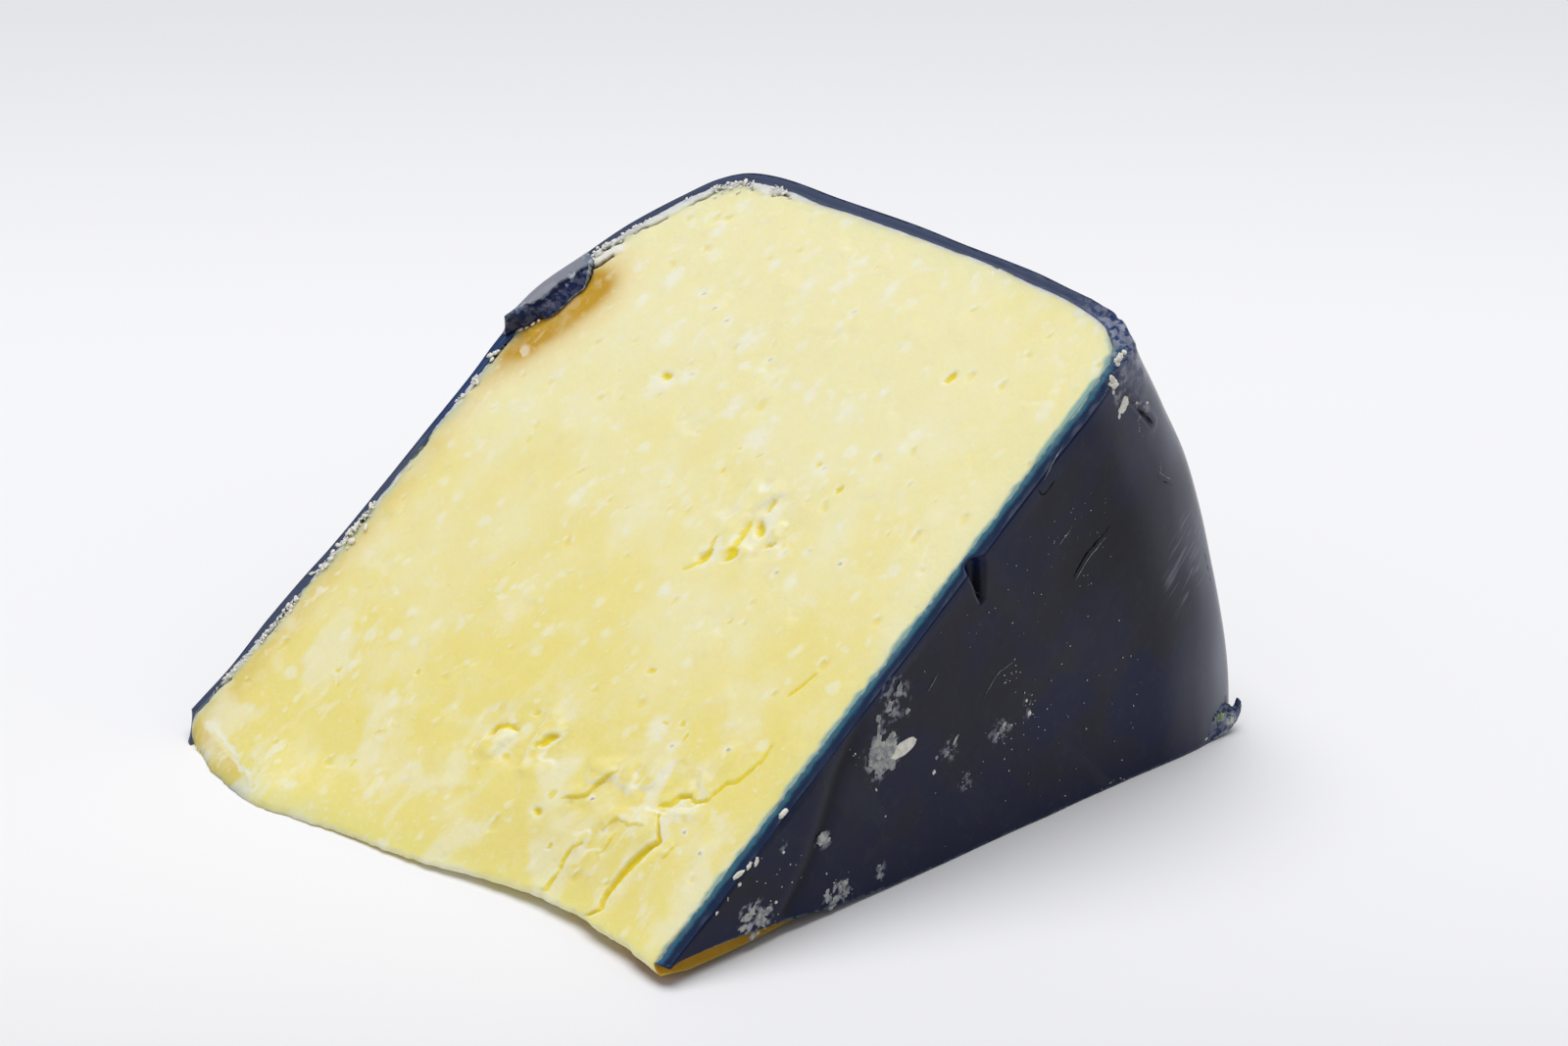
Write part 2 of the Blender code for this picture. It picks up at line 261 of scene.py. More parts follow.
def addPiece(name, points, quads, triangles, material, values=None):
    # whole arrays into one smooth closed mesh, turned where its volume comes out negative
    points = inFrame(points)
    parts = [np.asarray(part, np.int64) for part in (quads, triangles) if part is not None]
    fans = [part[:, [0, k, k + 1]] for part in parts for k in range(1, part.shape[1] - 1)]
    corners = np.concatenate(fans)
    a, b, c = (points[corners[:, k]] - points.mean(0) for k in range(3))
    if (a * np.cross(b, c)).sum() < 0:
        parts = [part[:, ::-1] for part in parts]
    sizes = np.concatenate([np.full(len(part), part.shape[1]) for part in parts])
    loops = np.concatenate([part.ravel() for part in parts])
    mesh = bpy.data.meshes.new(name)
    mesh.vertices.add(len(points))
    mesh.vertices.foreach_set("co", points.astype(np.float32).ravel())
    mesh.loops.add(len(loops))
    mesh.loops.foreach_set("vertex_index", loops.astype(np.int32))
    mesh.polygons.add(len(sizes))
    mesh.polygons.foreach_set("loop_start", np.concatenate([[0], np.cumsum(sizes)[:-1]]).astype(np.int32))
    mesh.update(calc_edges=True)
    mesh.polygons.foreach_set("use_smooth", np.ones(len(sizes), bool))
    for key, value in (values or {}).items():
        mesh.attributes.new(key, "FLOAT", "POINT").data.foreach_set("value", value.ravel().astype(np.float32))
    mesh.validate()
    mesh.materials.append(material)
    piece = bpy.data.objects.new(name, mesh)
    bpy.context.scene.collection.objects.link(piece)
    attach(piece, "root")
    print(name, len(points), "points", int((sizes - 2).sum()), "triangles")
    return piece


def addNode(tree, kind, inputs=None, **settings):
    made = tree.nodes.new(kind)
    for key, value in settings.items():
        setattr(made, key, value)
    for key, value in (inputs or {}).items():
        if isinstance(value, bpy.types.NodeSocket):
            tree.links.new(value, made.inputs[key])
        else:
            made.inputs[key].default_value = value
    return made


def maths(tree, operation, first, second=0.0, third=0.0):
    return addNode(tree, "ShaderNodeMath", {0: first, 1: second, 2: third}, operation=operation).outputs[0]


def remap(tree, value, fromLow, fromHigh, low=0.0, high=1.0):
    inputs = {"Value": value, "From Min": fromLow, "From Max": fromHigh, "To Min": low, "To Max": high}
    return addNode(tree, "ShaderNodeMapRange", inputs, interpolation_type="SMOOTHSTEP").outputs[0]


def blend(tree, share, first, second):
    return addNode(tree, "ShaderNodeMix", {0: share, 6: first, 7: second}, data_type="RGBA").outputs[2]


def masked(tree, *values):
    # several masks multiplied
    total = values[0]
    for value in values[1:]:
        total = maths(tree, "MULTIPLY", total, value)
    return total


def vectorMaths(tree, operation, *values):
    return addNode(tree, "ShaderNodeVectorMath", dict(enumerate(values)), operation=operation).outputs[0]


def objectPlace(tree):
    return addNode(tree, "ShaderNodeTexCoord").outputs["Object"]


def startGroup(name, inputs, outputs):
    # a node group whose inputs are numbers or vectors with usual values, and whose outputs are numbers
    group = bpy.data.node_groups.new(name, "ShaderNodeTree")
    for socket, value in inputs.items():
        kind = "NodeSocketVector" if isinstance(value, tuple) else "NodeSocketFloat"
        group.interface.new_socket(socket, in_out="INPUT", socket_type=kind).default_value = value
    for socket in outputs:
        group.interface.new_socket(socket, in_out="OUTPUT", socket_type="NodeSocketFloat")
    return group, group.nodes.new("NodeGroupInput").outputs, group.nodes.new("NodeGroupOutput").inputs


def patchesGroup():
    # soft-edged patches: stretched noise between two limits; Turn and Stretch are in the object's axes
    inputs = {"Turn": (0, 0, 0), "Stretch": (1, 1, 1), "Pitch": 300.0, "Detail": 3.0, "Swirl": 0.0,
              "From": 0.5, "To": 0.6}
    group, taken, given = startGroup("patches", inputs, ("Mask", "Value"))
    mapping = addNode(group, "ShaderNodeMapping", {"Vector": objectPlace(group), "Rotation": taken["Turn"]})
    stretched = vectorMaths(group, "MULTIPLY", mapping.outputs[0], taken["Stretch"])
    noise = addNode(group, "ShaderNodeTexNoise", {
        "Vector": stretched, "Scale": taken["Pitch"], "Detail": taken["Detail"],
        "Distortion": taken["Swirl"]}).outputs[0]
    group.links.new(remap(group, noise, taken["From"], taken["To"]), given["Mask"])
    group.links.new(noise, given["Value"])
    return group


def dotsGroup():
    # round dots in some cells: the distance to each cell's own point, kept where the cell's random
    # colour is low
    group, taken, given = startGroup("dots", {"Pitch": 500.0, "Size": 0.2, "Share": 0.2}, ("Mask",))
    place = objectPlace(group)
    finer = maths(group, "MULTIPLY", taken["Pitch"], 2.5)
    wander = addNode(group, "ShaderNodeTexNoise", {"Vector": place, "Scale": finer, "Detail": 2.0})
    aside = vectorMaths(group, "SUBTRACT", wander.outputs["Color"], (0.5, 0.5, 0.5))
    bent = vectorMaths(group, "MULTIPLY_ADD", aside, (0.0010, 0.0010, 0.0010), place)
    cells = addNode(group, "ShaderNodeTexVoronoi", {"Vector": bent, "Scale": taken["Pitch"]})
    half = maths(group, "MULTIPLY", taken["Size"], 0.5)
    near = addNode(group, "ShaderNodeMapRange", {
        "Value": cells.outputs["Distance"], "From Min": taken["Size"], "From Max": half})
    parts = addNode(group, "ShaderNodeSeparateColor", {0: cells.outputs["Color"]})
    chosen = maths(group, "LESS_THAN", parts.outputs[0], taken["Share"])
    group.links.new(maths(group, "MULTIPLY", near.outputs[0], chosen), given["Mask"])
    return group


patches, dots = patchesGroup(), dotsGroup()


def patchMask(tree, output="Mask", between=None, **values):
    made = addNode(tree, "ShaderNodeGroup", node_tree=patches)
    for key, value in values.items():
        made.inputs[key.capitalize()].default_value = value
    if between:
        made.inputs["From"].default_value, made.inputs["To"].default_value = between
    return made.outputs[output]


def dotMask(tree, pitch, size, share):
    made = addNode(tree, "ShaderNodeGroup", node_tree=dots)
    for key, value in (("Pitch", pitch), ("Size", size), ("Share", share)):
        made.inputs[key].default_value = value
    return made.outputs["Mask"]


def attribute(tree, name):
    return addNode(tree, "ShaderNodeAttribute", attribute_name=name).outputs["Fac"]


def color(hexCode):
    # screen colour written as six hex digits to linear light
    parts = [int(hexCode[k:k + 2], 16) / 255 for k in (0, 2, 4)]
    return (*[part / 12.92 if part <= 0.04045 else ((part + 0.055) / 1.055) ** 2.4 for part in parts], 1.0)


def newMaterial(name, **sockets):
    # the sockets are the shader's own, with _ for each space
    made = bpy.data.materials.new(name)
    made.use_nodes = True
    shader = made.node_tree.nodes["Principled BSDF"]
    for key, value in sockets.items():
        shader.inputs[key.replace("_", " ")].default_value = value
    return made, made.node_tree, shader


def dress(tree, shader, tone, height, strength, distance):
    # the colour, and a bump from the height
    tree.links.new(tone, shader.inputs["Base Color"])
    bump = addNode(tree, "ShaderNodeBump", {"Strength": strength, "Distance": distance, "Height": height})
    tree.links.new(bump.outputs[0], shader.inputs["Normal"])


pasteLooks = {
    "warm": color("f3e58e"),
    "main": color("f9eebb"),
    "pale": color("f9f2d4"),
    "white": color("fcf6e6"),
    # painted shadow and shade in golden yellow
    "goldenShade": color("c89b18"),
    "deep": color("f2e034"),
    # painted shade in darker amber
    "amberShade": color("b3871c"),
    "blue": color("8b97a6"),
    "green": color("ccd6b2"),
    "teal": color("8fb3aa"),
    "chalk": color("f5f1e2"),
    # painted shade in the gaps
    "gapShade": color("241f16"),
    "streakTurn": (-wedge["cutAngle"], 0.0, 0.0),  # lays the pattern along the upper cut
    "streakStretch": (1.0, 0.7, 1.0),
    "roughness": (0.42, 0.62),
    "grainPitch": 1500.0,
    "bump": (0.35, 0.0003),  # strength and distance
}


def pasteMaterial():
    made, tree, shader = newMaterial(
        "cheese_paste", Roughness=0.5, IOR=1.4, Subsurface_Weight=0.8, Subsurface_Radius=(1.0, 0.85, 0.5),
        Subsurface_Scale=0.0022, Specular_IOR_Level=0.35)
    looks = pasteLooks
    along = {"turn": looks["streakTurn"], "stretch": looks["streakStretch"]}
    place = addNode(tree, "ShaderNodeSeparateXYZ", {0: objectPlace(tree)})
    # warmer towards the tip, paler towards the rim, in large clouds
    cloud = patchMask(tree, **along, pitch=45.0, detail=2.0, between=(0.3, 0.7))
    small = patchMask(tree, **along, pitch=150.0, detail=3.0, between=(0.35, 0.7))
    height = remap(tree, place.outputs[1], tipLine[1] + 0.004, tipLine[1] + 0.058)
    tone = maths(tree, "ADD", height, maths(tree, "MULTIPLY_ADD", cloud, 0.5, -0.25))
    tone = maths(tree, "ADD", tone, maths(tree, "MULTIPLY_ADD", small, 0.3, -0.15))
    base = blend(tree, remap(tree, tone, 0.0, 1.0), looks["warm"], looks["main"])
    # painted shadow where the flap shades the cut, and painted shade along the left side and under the thin
    # tip
    base = blend(tree, remap(tree, attribute(tree, "goldenShade"), 0.0, 1.0, 0.0, 0.97), base, looks["goldenShade"])
    # drier curd: hazy drifts, irregular patches and round flecks, larger and closer towards the tip
    drift = patchMask(tree, **along, pitch=60.0, detail=2.0, between=(0.4, 0.62))
    brighter = patchMask(tree, **along, pitch=190.0, detail=3.0, swirl=0.2, between=(0.5, 0.72))
    curd = patchMask(tree, **along, pitch=360.0, detail=3.0, swirl=0.3, between=(0.57, 0.70))
    scales = patchMask(tree, **along, pitch=170.0, detail=5.0, swirl=0.3, between=(0.48, 0.64))
    grit = patchMask(tree, pitch=1100.0, detail=3.0, swirl=0.3, between=(0.6, 0.70))
    base = blend(tree, maths(tree, "MULTIPLY", brighter, 0.35), base, looks["pale"])
    base = blend(tree, masked(tree, scales, remap(tree, height, 0.1, 0.45, 0.6, 0.0)), base, looks["pale"])
    base = blend(tree, masked(tree, curd, remap(tree, drift, 0.0, 1.0, 0.15, 0.6)), base, looks["white"])
    base = blend(tree, masked(tree, grit, remap(tree, drift, 0.0, 1.0, 0.1, 0.3)), base, looks["white"])
    for pitch, size, share, strength in ((300.0, 0.36, 0.14, 0.5), (520.0, 0.34, 0.10, 0.4)):
        flecks = maths(tree, "MULTIPLY", dotMask(tree, pitch, size, share), strength)
        base = blend(tree, flecks, base, looks["white"])
    # darker amber painted shade on the flank under the raised tip and below the wax's foot
    base = blend(tree, remap(tree, attribute(tree, "goldenShade"), 1.0, 1.6), base, looks["amberShade"])
    # white torn curd, and on the nose painted light through the thin lip
    base = blend(tree, attribute(tree, "torn"), base, looks["white"])
    base = blend(tree, attribute(tree, "hollow"), base, looks["deep"])
    specks = maths(tree, "MULTIPLY", dotMask(tree, 330.0, 0.06, 0.05), 0.6)
    base = blend(tree, maths(tree, "MAXIMUM", attribute(tree, "speck"), specks), base, looks["blue"])
    # where it meets the wax: chalky on the left and along the rim, dyed on the right, with thin gaps of
    # painted shade
    dyed = attribute(tree, "dyed")
    base = blend(tree, remap(tree, dyed, 0.0, 0.6), base, looks["green"])
    base = blend(tree, remap(tree, dyed, 0.55, 1.0), base, looks["teal"])
    base = blend(tree, attribute(tree, "chalk"), base, looks["chalk"])
    base = blend(tree, attribute(tree, "gapShade"), base, looks["gapShade"])
    wet = patchMask(tree, pitch=900.0, detail=2.0, between=(0.3, 0.7))
    tree.links.new(remap(tree, wet, 0.0, 1.0, *looks["roughness"]), shader.inputs["Roughness"])
    grain = patchMask(tree, "Value", **along, pitch=looks["grainPitch"], detail=3.0)
    dress(tree, shader, base, grain, *looks["bump"])
    return made


waxLooks = {
    "main": color("1d1d2a"),
    "blue": color("10193b"),
    "smoke": color("2e323d"),
    "teal": color("336a7e"),
    "slate": color("465069"),
    "line": color("151e40"),
    "navy": color("1d3a69"),
    "seam": color("a9bdb0"),
    "dust": color("b7bdc5"),
    # rubbed wax, and painted highlights along the foot, the flap's ridge and its lower edge
    "rubAndHighlight": color("65788c"),
    "blueTip": color("285f8c"),
    "shade": color("0d0e13"),
    # painted sheen, also the colour of the scuffs
    "sheenAndScuff": color("a0a3b0"),
    "scrapeDark": color("24386a"),
    "scrapeLight": color("8f94ab"),
    "roughness": (0.24, 0.4),
    "powderRoughness": 0.4,
    "bump": (0.14, 0.0004),  # strength and distance
}


def waxMaterial():
    made, tree, shader = newMaterial("navy_wax", Roughness=0.35, IOR=1.44, Specular_IOR_Level=0.2)
    looks = waxLooks
    place = addNode(tree, "ShaderNodeSeparateXYZ", {0: objectPlace(tree)})
    mottle = patchMask(tree, pitch=70.0, detail=4.0, swirl=1.2, between=(0.42, 0.62))
    fine = patchMask(tree, pitch=600.0, detail=3.0, swirl=0.5, between=(0.55, 0.7))
    smears = patchMask(tree, turn=(0.9, 0, 0), stretch=(1, 0.25, 1), pitch=160.0, detail=4.0, swirl=0.8,
                       between=(0.55, 0.75))
    tint = maths(tree, "MAXIMUM", maths(tree, "MULTIPLY", mottle, 0.65), attribute(tree, "blue"))
    base = blend(tree, tint, looks["main"], looks["blue"])
    base = blend(tree, maths(tree, "MULTIPLY", fine, 0.2), base, looks["smoke"])
    base = blend(tree, maths(tree, "MULTIPLY", smears, 0.5), base, looks["smoke"])
    # painted sheen towards the rim and on the flap's smooth top
    base = blend(tree, attribute(tree, "sheenAndScuff"), base, looks["sheenAndScuff"])
    base = blend(tree, attribute(tree, "shade"), base, looks["shade"])
    scuffs = patchMask(tree, turn=(-0.75, 0, 0), stretch=(1, 0.05, 1), pitch=2600.0, detail=2.0,
                       between=(0.52, 0.64))
    base = blend(tree, masked(tree, scuffs, attribute(tree, "scuff")), base, looks["sheenAndScuff"])
    # the cut band from the outside in: dark, slate (teal on the right), then pale at the cheese
    blotchy = patchMask(tree, pitch=1400.0, detail=3.0, between=(0.4, 0.6))
    wobble = patchMask(tree, "Value", pitch=900.0, detail=2.0)
    depth = maths(tree, "ADD", attribute(tree, "band"), maths(tree, "MULTIPLY_ADD", wobble, 0.36, -0.18))
    teal = attribute(tree, "teal")
    tinted = masked(tree, teal, remap(tree, blotchy, 0.0, 1.0, 0.55, 1.0))
    cut = blend(tree, tinted, looks["slate"], looks["teal"])
    nearTip = remap(tree, place.outputs[1], tipLine[1] + 0.002, tipLine[1] + 0.006, 0.8, 0.0)
    cut = blend(tree, masked(tree, teal, nearTip), cut, looks["blueTip"])
    darkFrom = maths(tree, "MULTIPLY_ADD", teal, 0.38, 0.06)
    darkTo = maths(tree, "MULTIPLY_ADD", teal, 0.58, 0.20)
    dark = remap(tree, depth, darkFrom, darkTo, 0.9, 0.0)
    cut = blend(tree, dark, cut, looks["line"])
    seam = masked(tree, remap(tree, depth, 0.86, 1.02), maths(tree, "MULTIPLY_ADD", teal, 0.75, 0.15))
    cut = blend(tree, seam, cut, looks["seam"])
    cut = blend(tree, attribute(tree, "navy"), cut, looks["navy"])
    base = blend(tree, remap(tree, attribute(tree, "band"), 0.0, 0.05), base, cut)
    # crushed and scraped wax, rubbed edges with painted highlights, and dry powder
    scrape = attribute(tree, "scrape")
    crumple = patchMask(tree, pitch=1100.0, detail=3.0, swirl=0.6, between=(0.42, 0.58))
    scraped = blend(tree, crumple, looks["scrapeDark"], looks["scrapeLight"])
    base = blend(tree, maths(tree, "MULTIPLY", scrape, 0.8), base, scraped)
    base = blend(tree, maths(tree, "MULTIPLY", attribute(tree, "rubAndHighlight"), blotchy), base, looks["rubAndHighlight"])
    grit = patchMask(tree, pitch=1100.0, detail=4.0, between=(0.45, 0.62))
    powder = maths(tree, "MULTIPLY", attribute(tree, "dust"), grit)
    base = blend(tree, powder, base, looks["dust"])
    rough = remap(tree, smears, 0.0, 1.0, *looks["roughness"])
    rough = maths(tree, "ADD", rough, maths(tree, "MULTIPLY", powder, looks["powderRoughness"]))
    tree.links.new(rough, shader.inputs["Roughness"])
    scratch = patchMask(tree, "Value", turn=(0.7, 0, 0), stretch=(1, 0.08, 1), pitch=1800.0, detail=2.0)
    lumps = patchMask(tree, "Value", pitch=350.0, detail=4.0)
    height = maths(tree, "ADD", maths(tree, "MULTIPLY", scratch, 0.25), lumps)
    height = maths(tree, "MULTIPLY_ADD", masked(tree, scrape, crumple), 2.5, height)
    dress(tree, shader, base, height, *looks["bump"])
    return made


def crumbMaterial(name, light, dark):
    made, tree, shader = newMaterial(name, Roughness=0.7, Subsurface_Weight=0.2,
                                     Subsurface_Radius=(1.0, 0.8, 0.5), Subsurface_Scale=0.0008)
    tone = patchMask(tree, pitch=1600.0, detail=3.0, between=(0.35, 0.65))
    grain = patchMask(tree, "Value", pitch=3000.0, detail=2.0)
    dress(tree, shader, blend(tree, tone, dark, light), grain, 0.4, 0.0001)
    return made


paste = pasteMaterial()
wax = waxMaterial()
paleCrumb = crumbMaterial("dry_curd", color("f1ede0"), color("d9d6c8"))
smearCrumb = crumbMaterial("smeared_curd", color("b9b9ae"), color("7f858c"))
fringeCrumb = crumbMaterial("fringe_curd", color("fbf8ee"), color("ece7d8"))
greenCrumb = crumbMaterial("green_curd", color("c3c583"), color("8aa090"))
print("materials made")


sectionLine = np.array(section["line"])
sectionPlace = np.concatenate([[0], np.cumsum(np.hypot(*np.diff(sectionLine[:, :2], axis=0).T))])
leftCorner, rightCorner = sectionPlace[section["leftCorner"]], sectionPlace[section["rightCorner"]]
sectionEnd = sectionPlace[-1]


def sectionAt(place):
    # outside x, outside out, inside x and inside out at a length along the section
    return np.stack([through(place, sectionPlace, sectionLine[:, k]) for k in range(4)], -1)


pasteShape = {
    "columns": 304,
    "rows": 288,
    "noseRows": 8,
    "underRows": 20,
    "rimRows": 5,
    "crack": (  # x, out and half width
        (24.6, 3.6, 0.35), (25.4, 4.8, 0.38), (26.8, 6.2, 0.45), (27.8, 7.0, 0.5), (27.2, 7.9, 0.5),
        (27.2, 9.4, 0.58), (27.5, 11.2, 0.7), (27.8, 12.5, 0.76), (28.2, 13.8, 0.74),
        (28.8, 15.0, 0.66), (29.3, 16.0, 0.5), (28.2, 17.1, 0.25), (27.1, 18.4, 0.18), (27.1, 19.0, 0.0),
    ),
    "ridge": ((-39.6, 4.5), (-37.4, 4.2), (-35.6, 4.0), (-33.1, 3.1), (-30.6, 1.8), (-27.8, 0.9)),
    # x and out of two slits of painted shade past the flap, and of the pale flake between them
    "gapLines": (
        ((-37.0, 76.8), (-36.5, 77.4), (-36.0, 78.0), (-35.85, 78.6), (-35.5, 79.2), (-35.3, 79.7)),
        ((-37.3, 79.9), (-36.9, 80.3), (-36.4, 80.9), (-35.9, 81.4), (-35.7, 81.9)),
    ),
    "flake": ((-37.2, 77.6), (-36.4, 78.8), (-35.9, 80.0), (-35.0, 80.9)),
    "flapShadow": (
        (-38.2, 65.4), (-37.3, 66.9), (-36.8, 68.0), (-35.7, 70.1), (-35.1, 72.0), (-34.6, 73.1),
        (-34.35, 74.9),
    ),
    "crackMiddle": 27.6,
    "crackDepth": 0.7,
    "swells": (0.10, 0.06),  # heights of the broad and of the smaller swells
    "grain": 0.05,
    "tears": (3.4, 0.22, 0.25, 0.8),  # pitch, share of places that have one, least and greatest size
    "tearDepth": 0.16,
    "lumps": (2.2, 0.22, 0.25, 0.8),
    "lumpHeight": 0.05,  # and of the torn lips
    "lineShare": 0.42,  # how much of the depths below is cut, for lines and for eyes
    "eyeShare": 0.36,
    # thin cracks and lifted edges: points, half width, depth, and how far their left side is raised
    "lines": (
        (((16.7, 4.2), (17.6, 5.5), (19.0, 6.8), (19.0, 7.9), (19.1, 9.3), (18.9, 10.6), (19.0, 11.8),
         (19.9, 12.4)), 0.3, 0.5, 0.22),
        (((13.7, 15.6), (15.2, 16.4), (16.4, 17.0), (16.6, 18.3), (17.2, 19.9),
         (18.0, 21.1)), 0.28, 0.35, 0.3),
        (((27.6, 21.4), (28.8, 22.1), (30.2, 21.8), (31.3, 22.4), (31.7, 23.8), (32.1, 25.1),
         (33.2, 25.7), (33.6, 27.4), (34.2, 29.3), (33.9, 31.2)), 0.3, 0.6, 0.08),
        (((26.0, 19.6), (27.4, 20.3), (27.7, 21.4), (29.0, 22.2)), 0.55, 0.45, 0.1),
        (((31.3, 14.5), (31.7, 16.5)), 0.22, 0.3, 0.1),
        (((22.8, 12.2), (23.0, 13.4), (23.1, 14.6)), 0.22, 0.3, 0.15),
        (((21.0, 14.5), (22.3, 16.3), (24.4, 16.2), (26.5, 16.8)), 0.2, 0.15, 0.25),
        (((31.5, 37.3), (32.1, 39.0), (32.7, 40.9)), 0.32, 0.6, 0.0),
        (((10.3, 54.8), (10.8, 52.6), (11.2, 50.4)), 0.62, 0.5, 0.0),
        (((7.5, 51.2), (8.2, 49.2), (7.9, 47.6), (6.9, 46.2)), 0.4, 0.55, 0.0),
        (((-1.5, 18.2), (-1.0, 19.6), (-0.2, 20.4), (1.5, 20.5)), 0.45, 0.8, 0.0),
    ),
    # openings: x, out, length, width, depth and the lean of the long axis from x in degrees
    "eyes": (
        (-15.1, 67.6, 2.0, 1.1, 0.9, 25), (21.6, 80.3, 1.6, 1.0, 0.9, 80), (12.1, 54.5, 2.5, 1.15, 1.7, 125),
        (11.6, 57.4, 2.2, 0.7, 0.6, 95), (11.4, 50.0, 1.7, 1.4, 0.9, 60), (8.3, 48.6, 2.2, 1.3, 0.9, 80),
        (15.2, 52.9, 1.6, 0.55, 0.5, 40), (2.3, 59.3, 0.9, 0.5, 0.4, 120), (1.8, 62.7, 0.7, 0.4, 0.35, 60),
        (5.4, 62.7, 1.1, 0.5, 0.4, 30), (13.6, 64.4, 0.9, 0.6, 0.5, 50), (18.5, 62.1, 0.9, 0.8, 0.7, 100),
        (-15.7, 38.4, 0.7, 0.4, 0.3, 60), (-6.5, 50.6, 0.8, 0.4, 0.3, 60), (17.5, 42.5, 0.9, 0.45, 0.4, 40),
        (-1.0, 19.2, 2.0, 1.1, 0.7, 60), (6.6, 21.0, 2.4, 1.5, 1.8, 55), (5.7, 19.8, 1.2, 1.0, 0.6, 60),
        (2.2, 23.3, 1.1, 0.7, 0.5, 60), (2.6, 17.1, 1.7, 1.0, 0.3, 150), (12.0, 13.2, 1.15, 1.0, 1.0, 30),
        (12.4, 15.6, 1.7, 0.9, 0.35, 80), (16.1, 10.7, 0.9, 0.7, 0.5, 0), (19.3, 28.6, 0.8, 0.5, 0.4, 60),
        (21.6, 29.3, 0.9, 0.6, 0.5, 30), (23.0, 28.0, 1.1, 0.5, 0.4, 110), (12.5, 33.5, 0.9, 0.7, 0.5, 60),
        (-27.6, 17.7, 1.0, 0.6, 0.5, 60), (-16.9, 21.6, 1.0, 0.6, 0.5, 60), (-21.8, 32.8, 0.7, 0.5, 0.35, 60),
        (-15.9, 12.8, 0.7, 0.5, 0.4, 60), (-15.9, 8.2, 0.9, 0.6, 0.4, 60), (-26.5, 53.2, 0.7, 0.5, 0.35, 60),
    ),
    # white curd with or without a dark point in it: x, out, width and how dark
    "curds": (
        (-22.8, 92.4, 1.2, 0), (-23.4, 87.9, 1.8, 0), (-12.2, 86.2, 1.5, 0), (-24.5, 79.7, 2.0, 0),
        (-26.3, 75.6, 1.5, 0), (-18.7, 79.3, 1.4, 0.6), (-15.5, 78.1, 1.2, 0.9), (-12.6, 77.0, 1.5, 0.5),
        (-19.2, 72.2, 2.2, 0), (-8.0, 75.1, 1.8, 0.6), (-0.9, 90.3, 1.3, 0), (-1.6, 86.1, 1.3, 0),
        (-5.9, 85.1, 1.4, 0), (2.7, 81.7, 1.1, 0), (3.1, 83.7, 1.1, 0.7), (-3.1, 74.4, 1.1, 0.5),
        (-11.8, 68.8, 1.8, 0.7), (0.3, 71.7, 1.0, 0), (5.8, 71.8, 1.7, 0), (-2.9, 66.9, 2.2, 0),
        (3.1, 64.2, 3.0, 0), (14.5, 63.9, 1.6, 0.8), (22.2, 58.6, 1.2, 0), (20.6, 54.0, 1.2, 0.7),
        (25.6, 54.0, 1.0, 0.8), (17.8, 52.6, 1.2, 0.5), (18.6, 50.0, 0.8, 0.6), (13.9, 54.6, 0.8, 0.5),
        (21.6, 49.6, 1.6, 0), (6.3, 42.9, 1.5, 0), (10.7, 52.0, 2.2, 0), (29.4, 28.7, 1.0, 0.9),
        (22.3, 26.4, 1.3, 0.7), (17.4, 17.0, 0.9, 0.8), (31.5, 18.1, 0.8, 0.7), (35.3, 16.7, 0.8, 0.7),
        (18.9, 27.3, 2.6, 0), (1.2, 18.4, 3.0, 0), (21.5, 14.6, 1.4, 0.6), (24.9, 17.2, 3.4, 0),
        (29.0, 20.2, 2.8, 0), (27.5, 12.2, 1.8, 0), (-38.6, 4.3, 2.0, 0), (-15.1, 66.6, 3.0, 0),
        (12.4, 56.0, 3.6, 0), (8.6, 49.4, 3.0, 0),
    ),
    # torn areas: x, out and reaches
    "chips": ((21.0, 17.5, 9.0, 6.5), (3.0, 20.0, 8.0, 5.5), (11.0, 55.0, 7.0, 6.0), (26.0, 22.0, 6.0, 4.0)),
}


def crackAt(out):
    # middle and half width of the main crack at a distance from the tip
    x, places, half = np.array(pasteShape["crack"]).T
    return np.interp(out, places, x), np.interp(out, places, half, left=half[0], right=0.0)


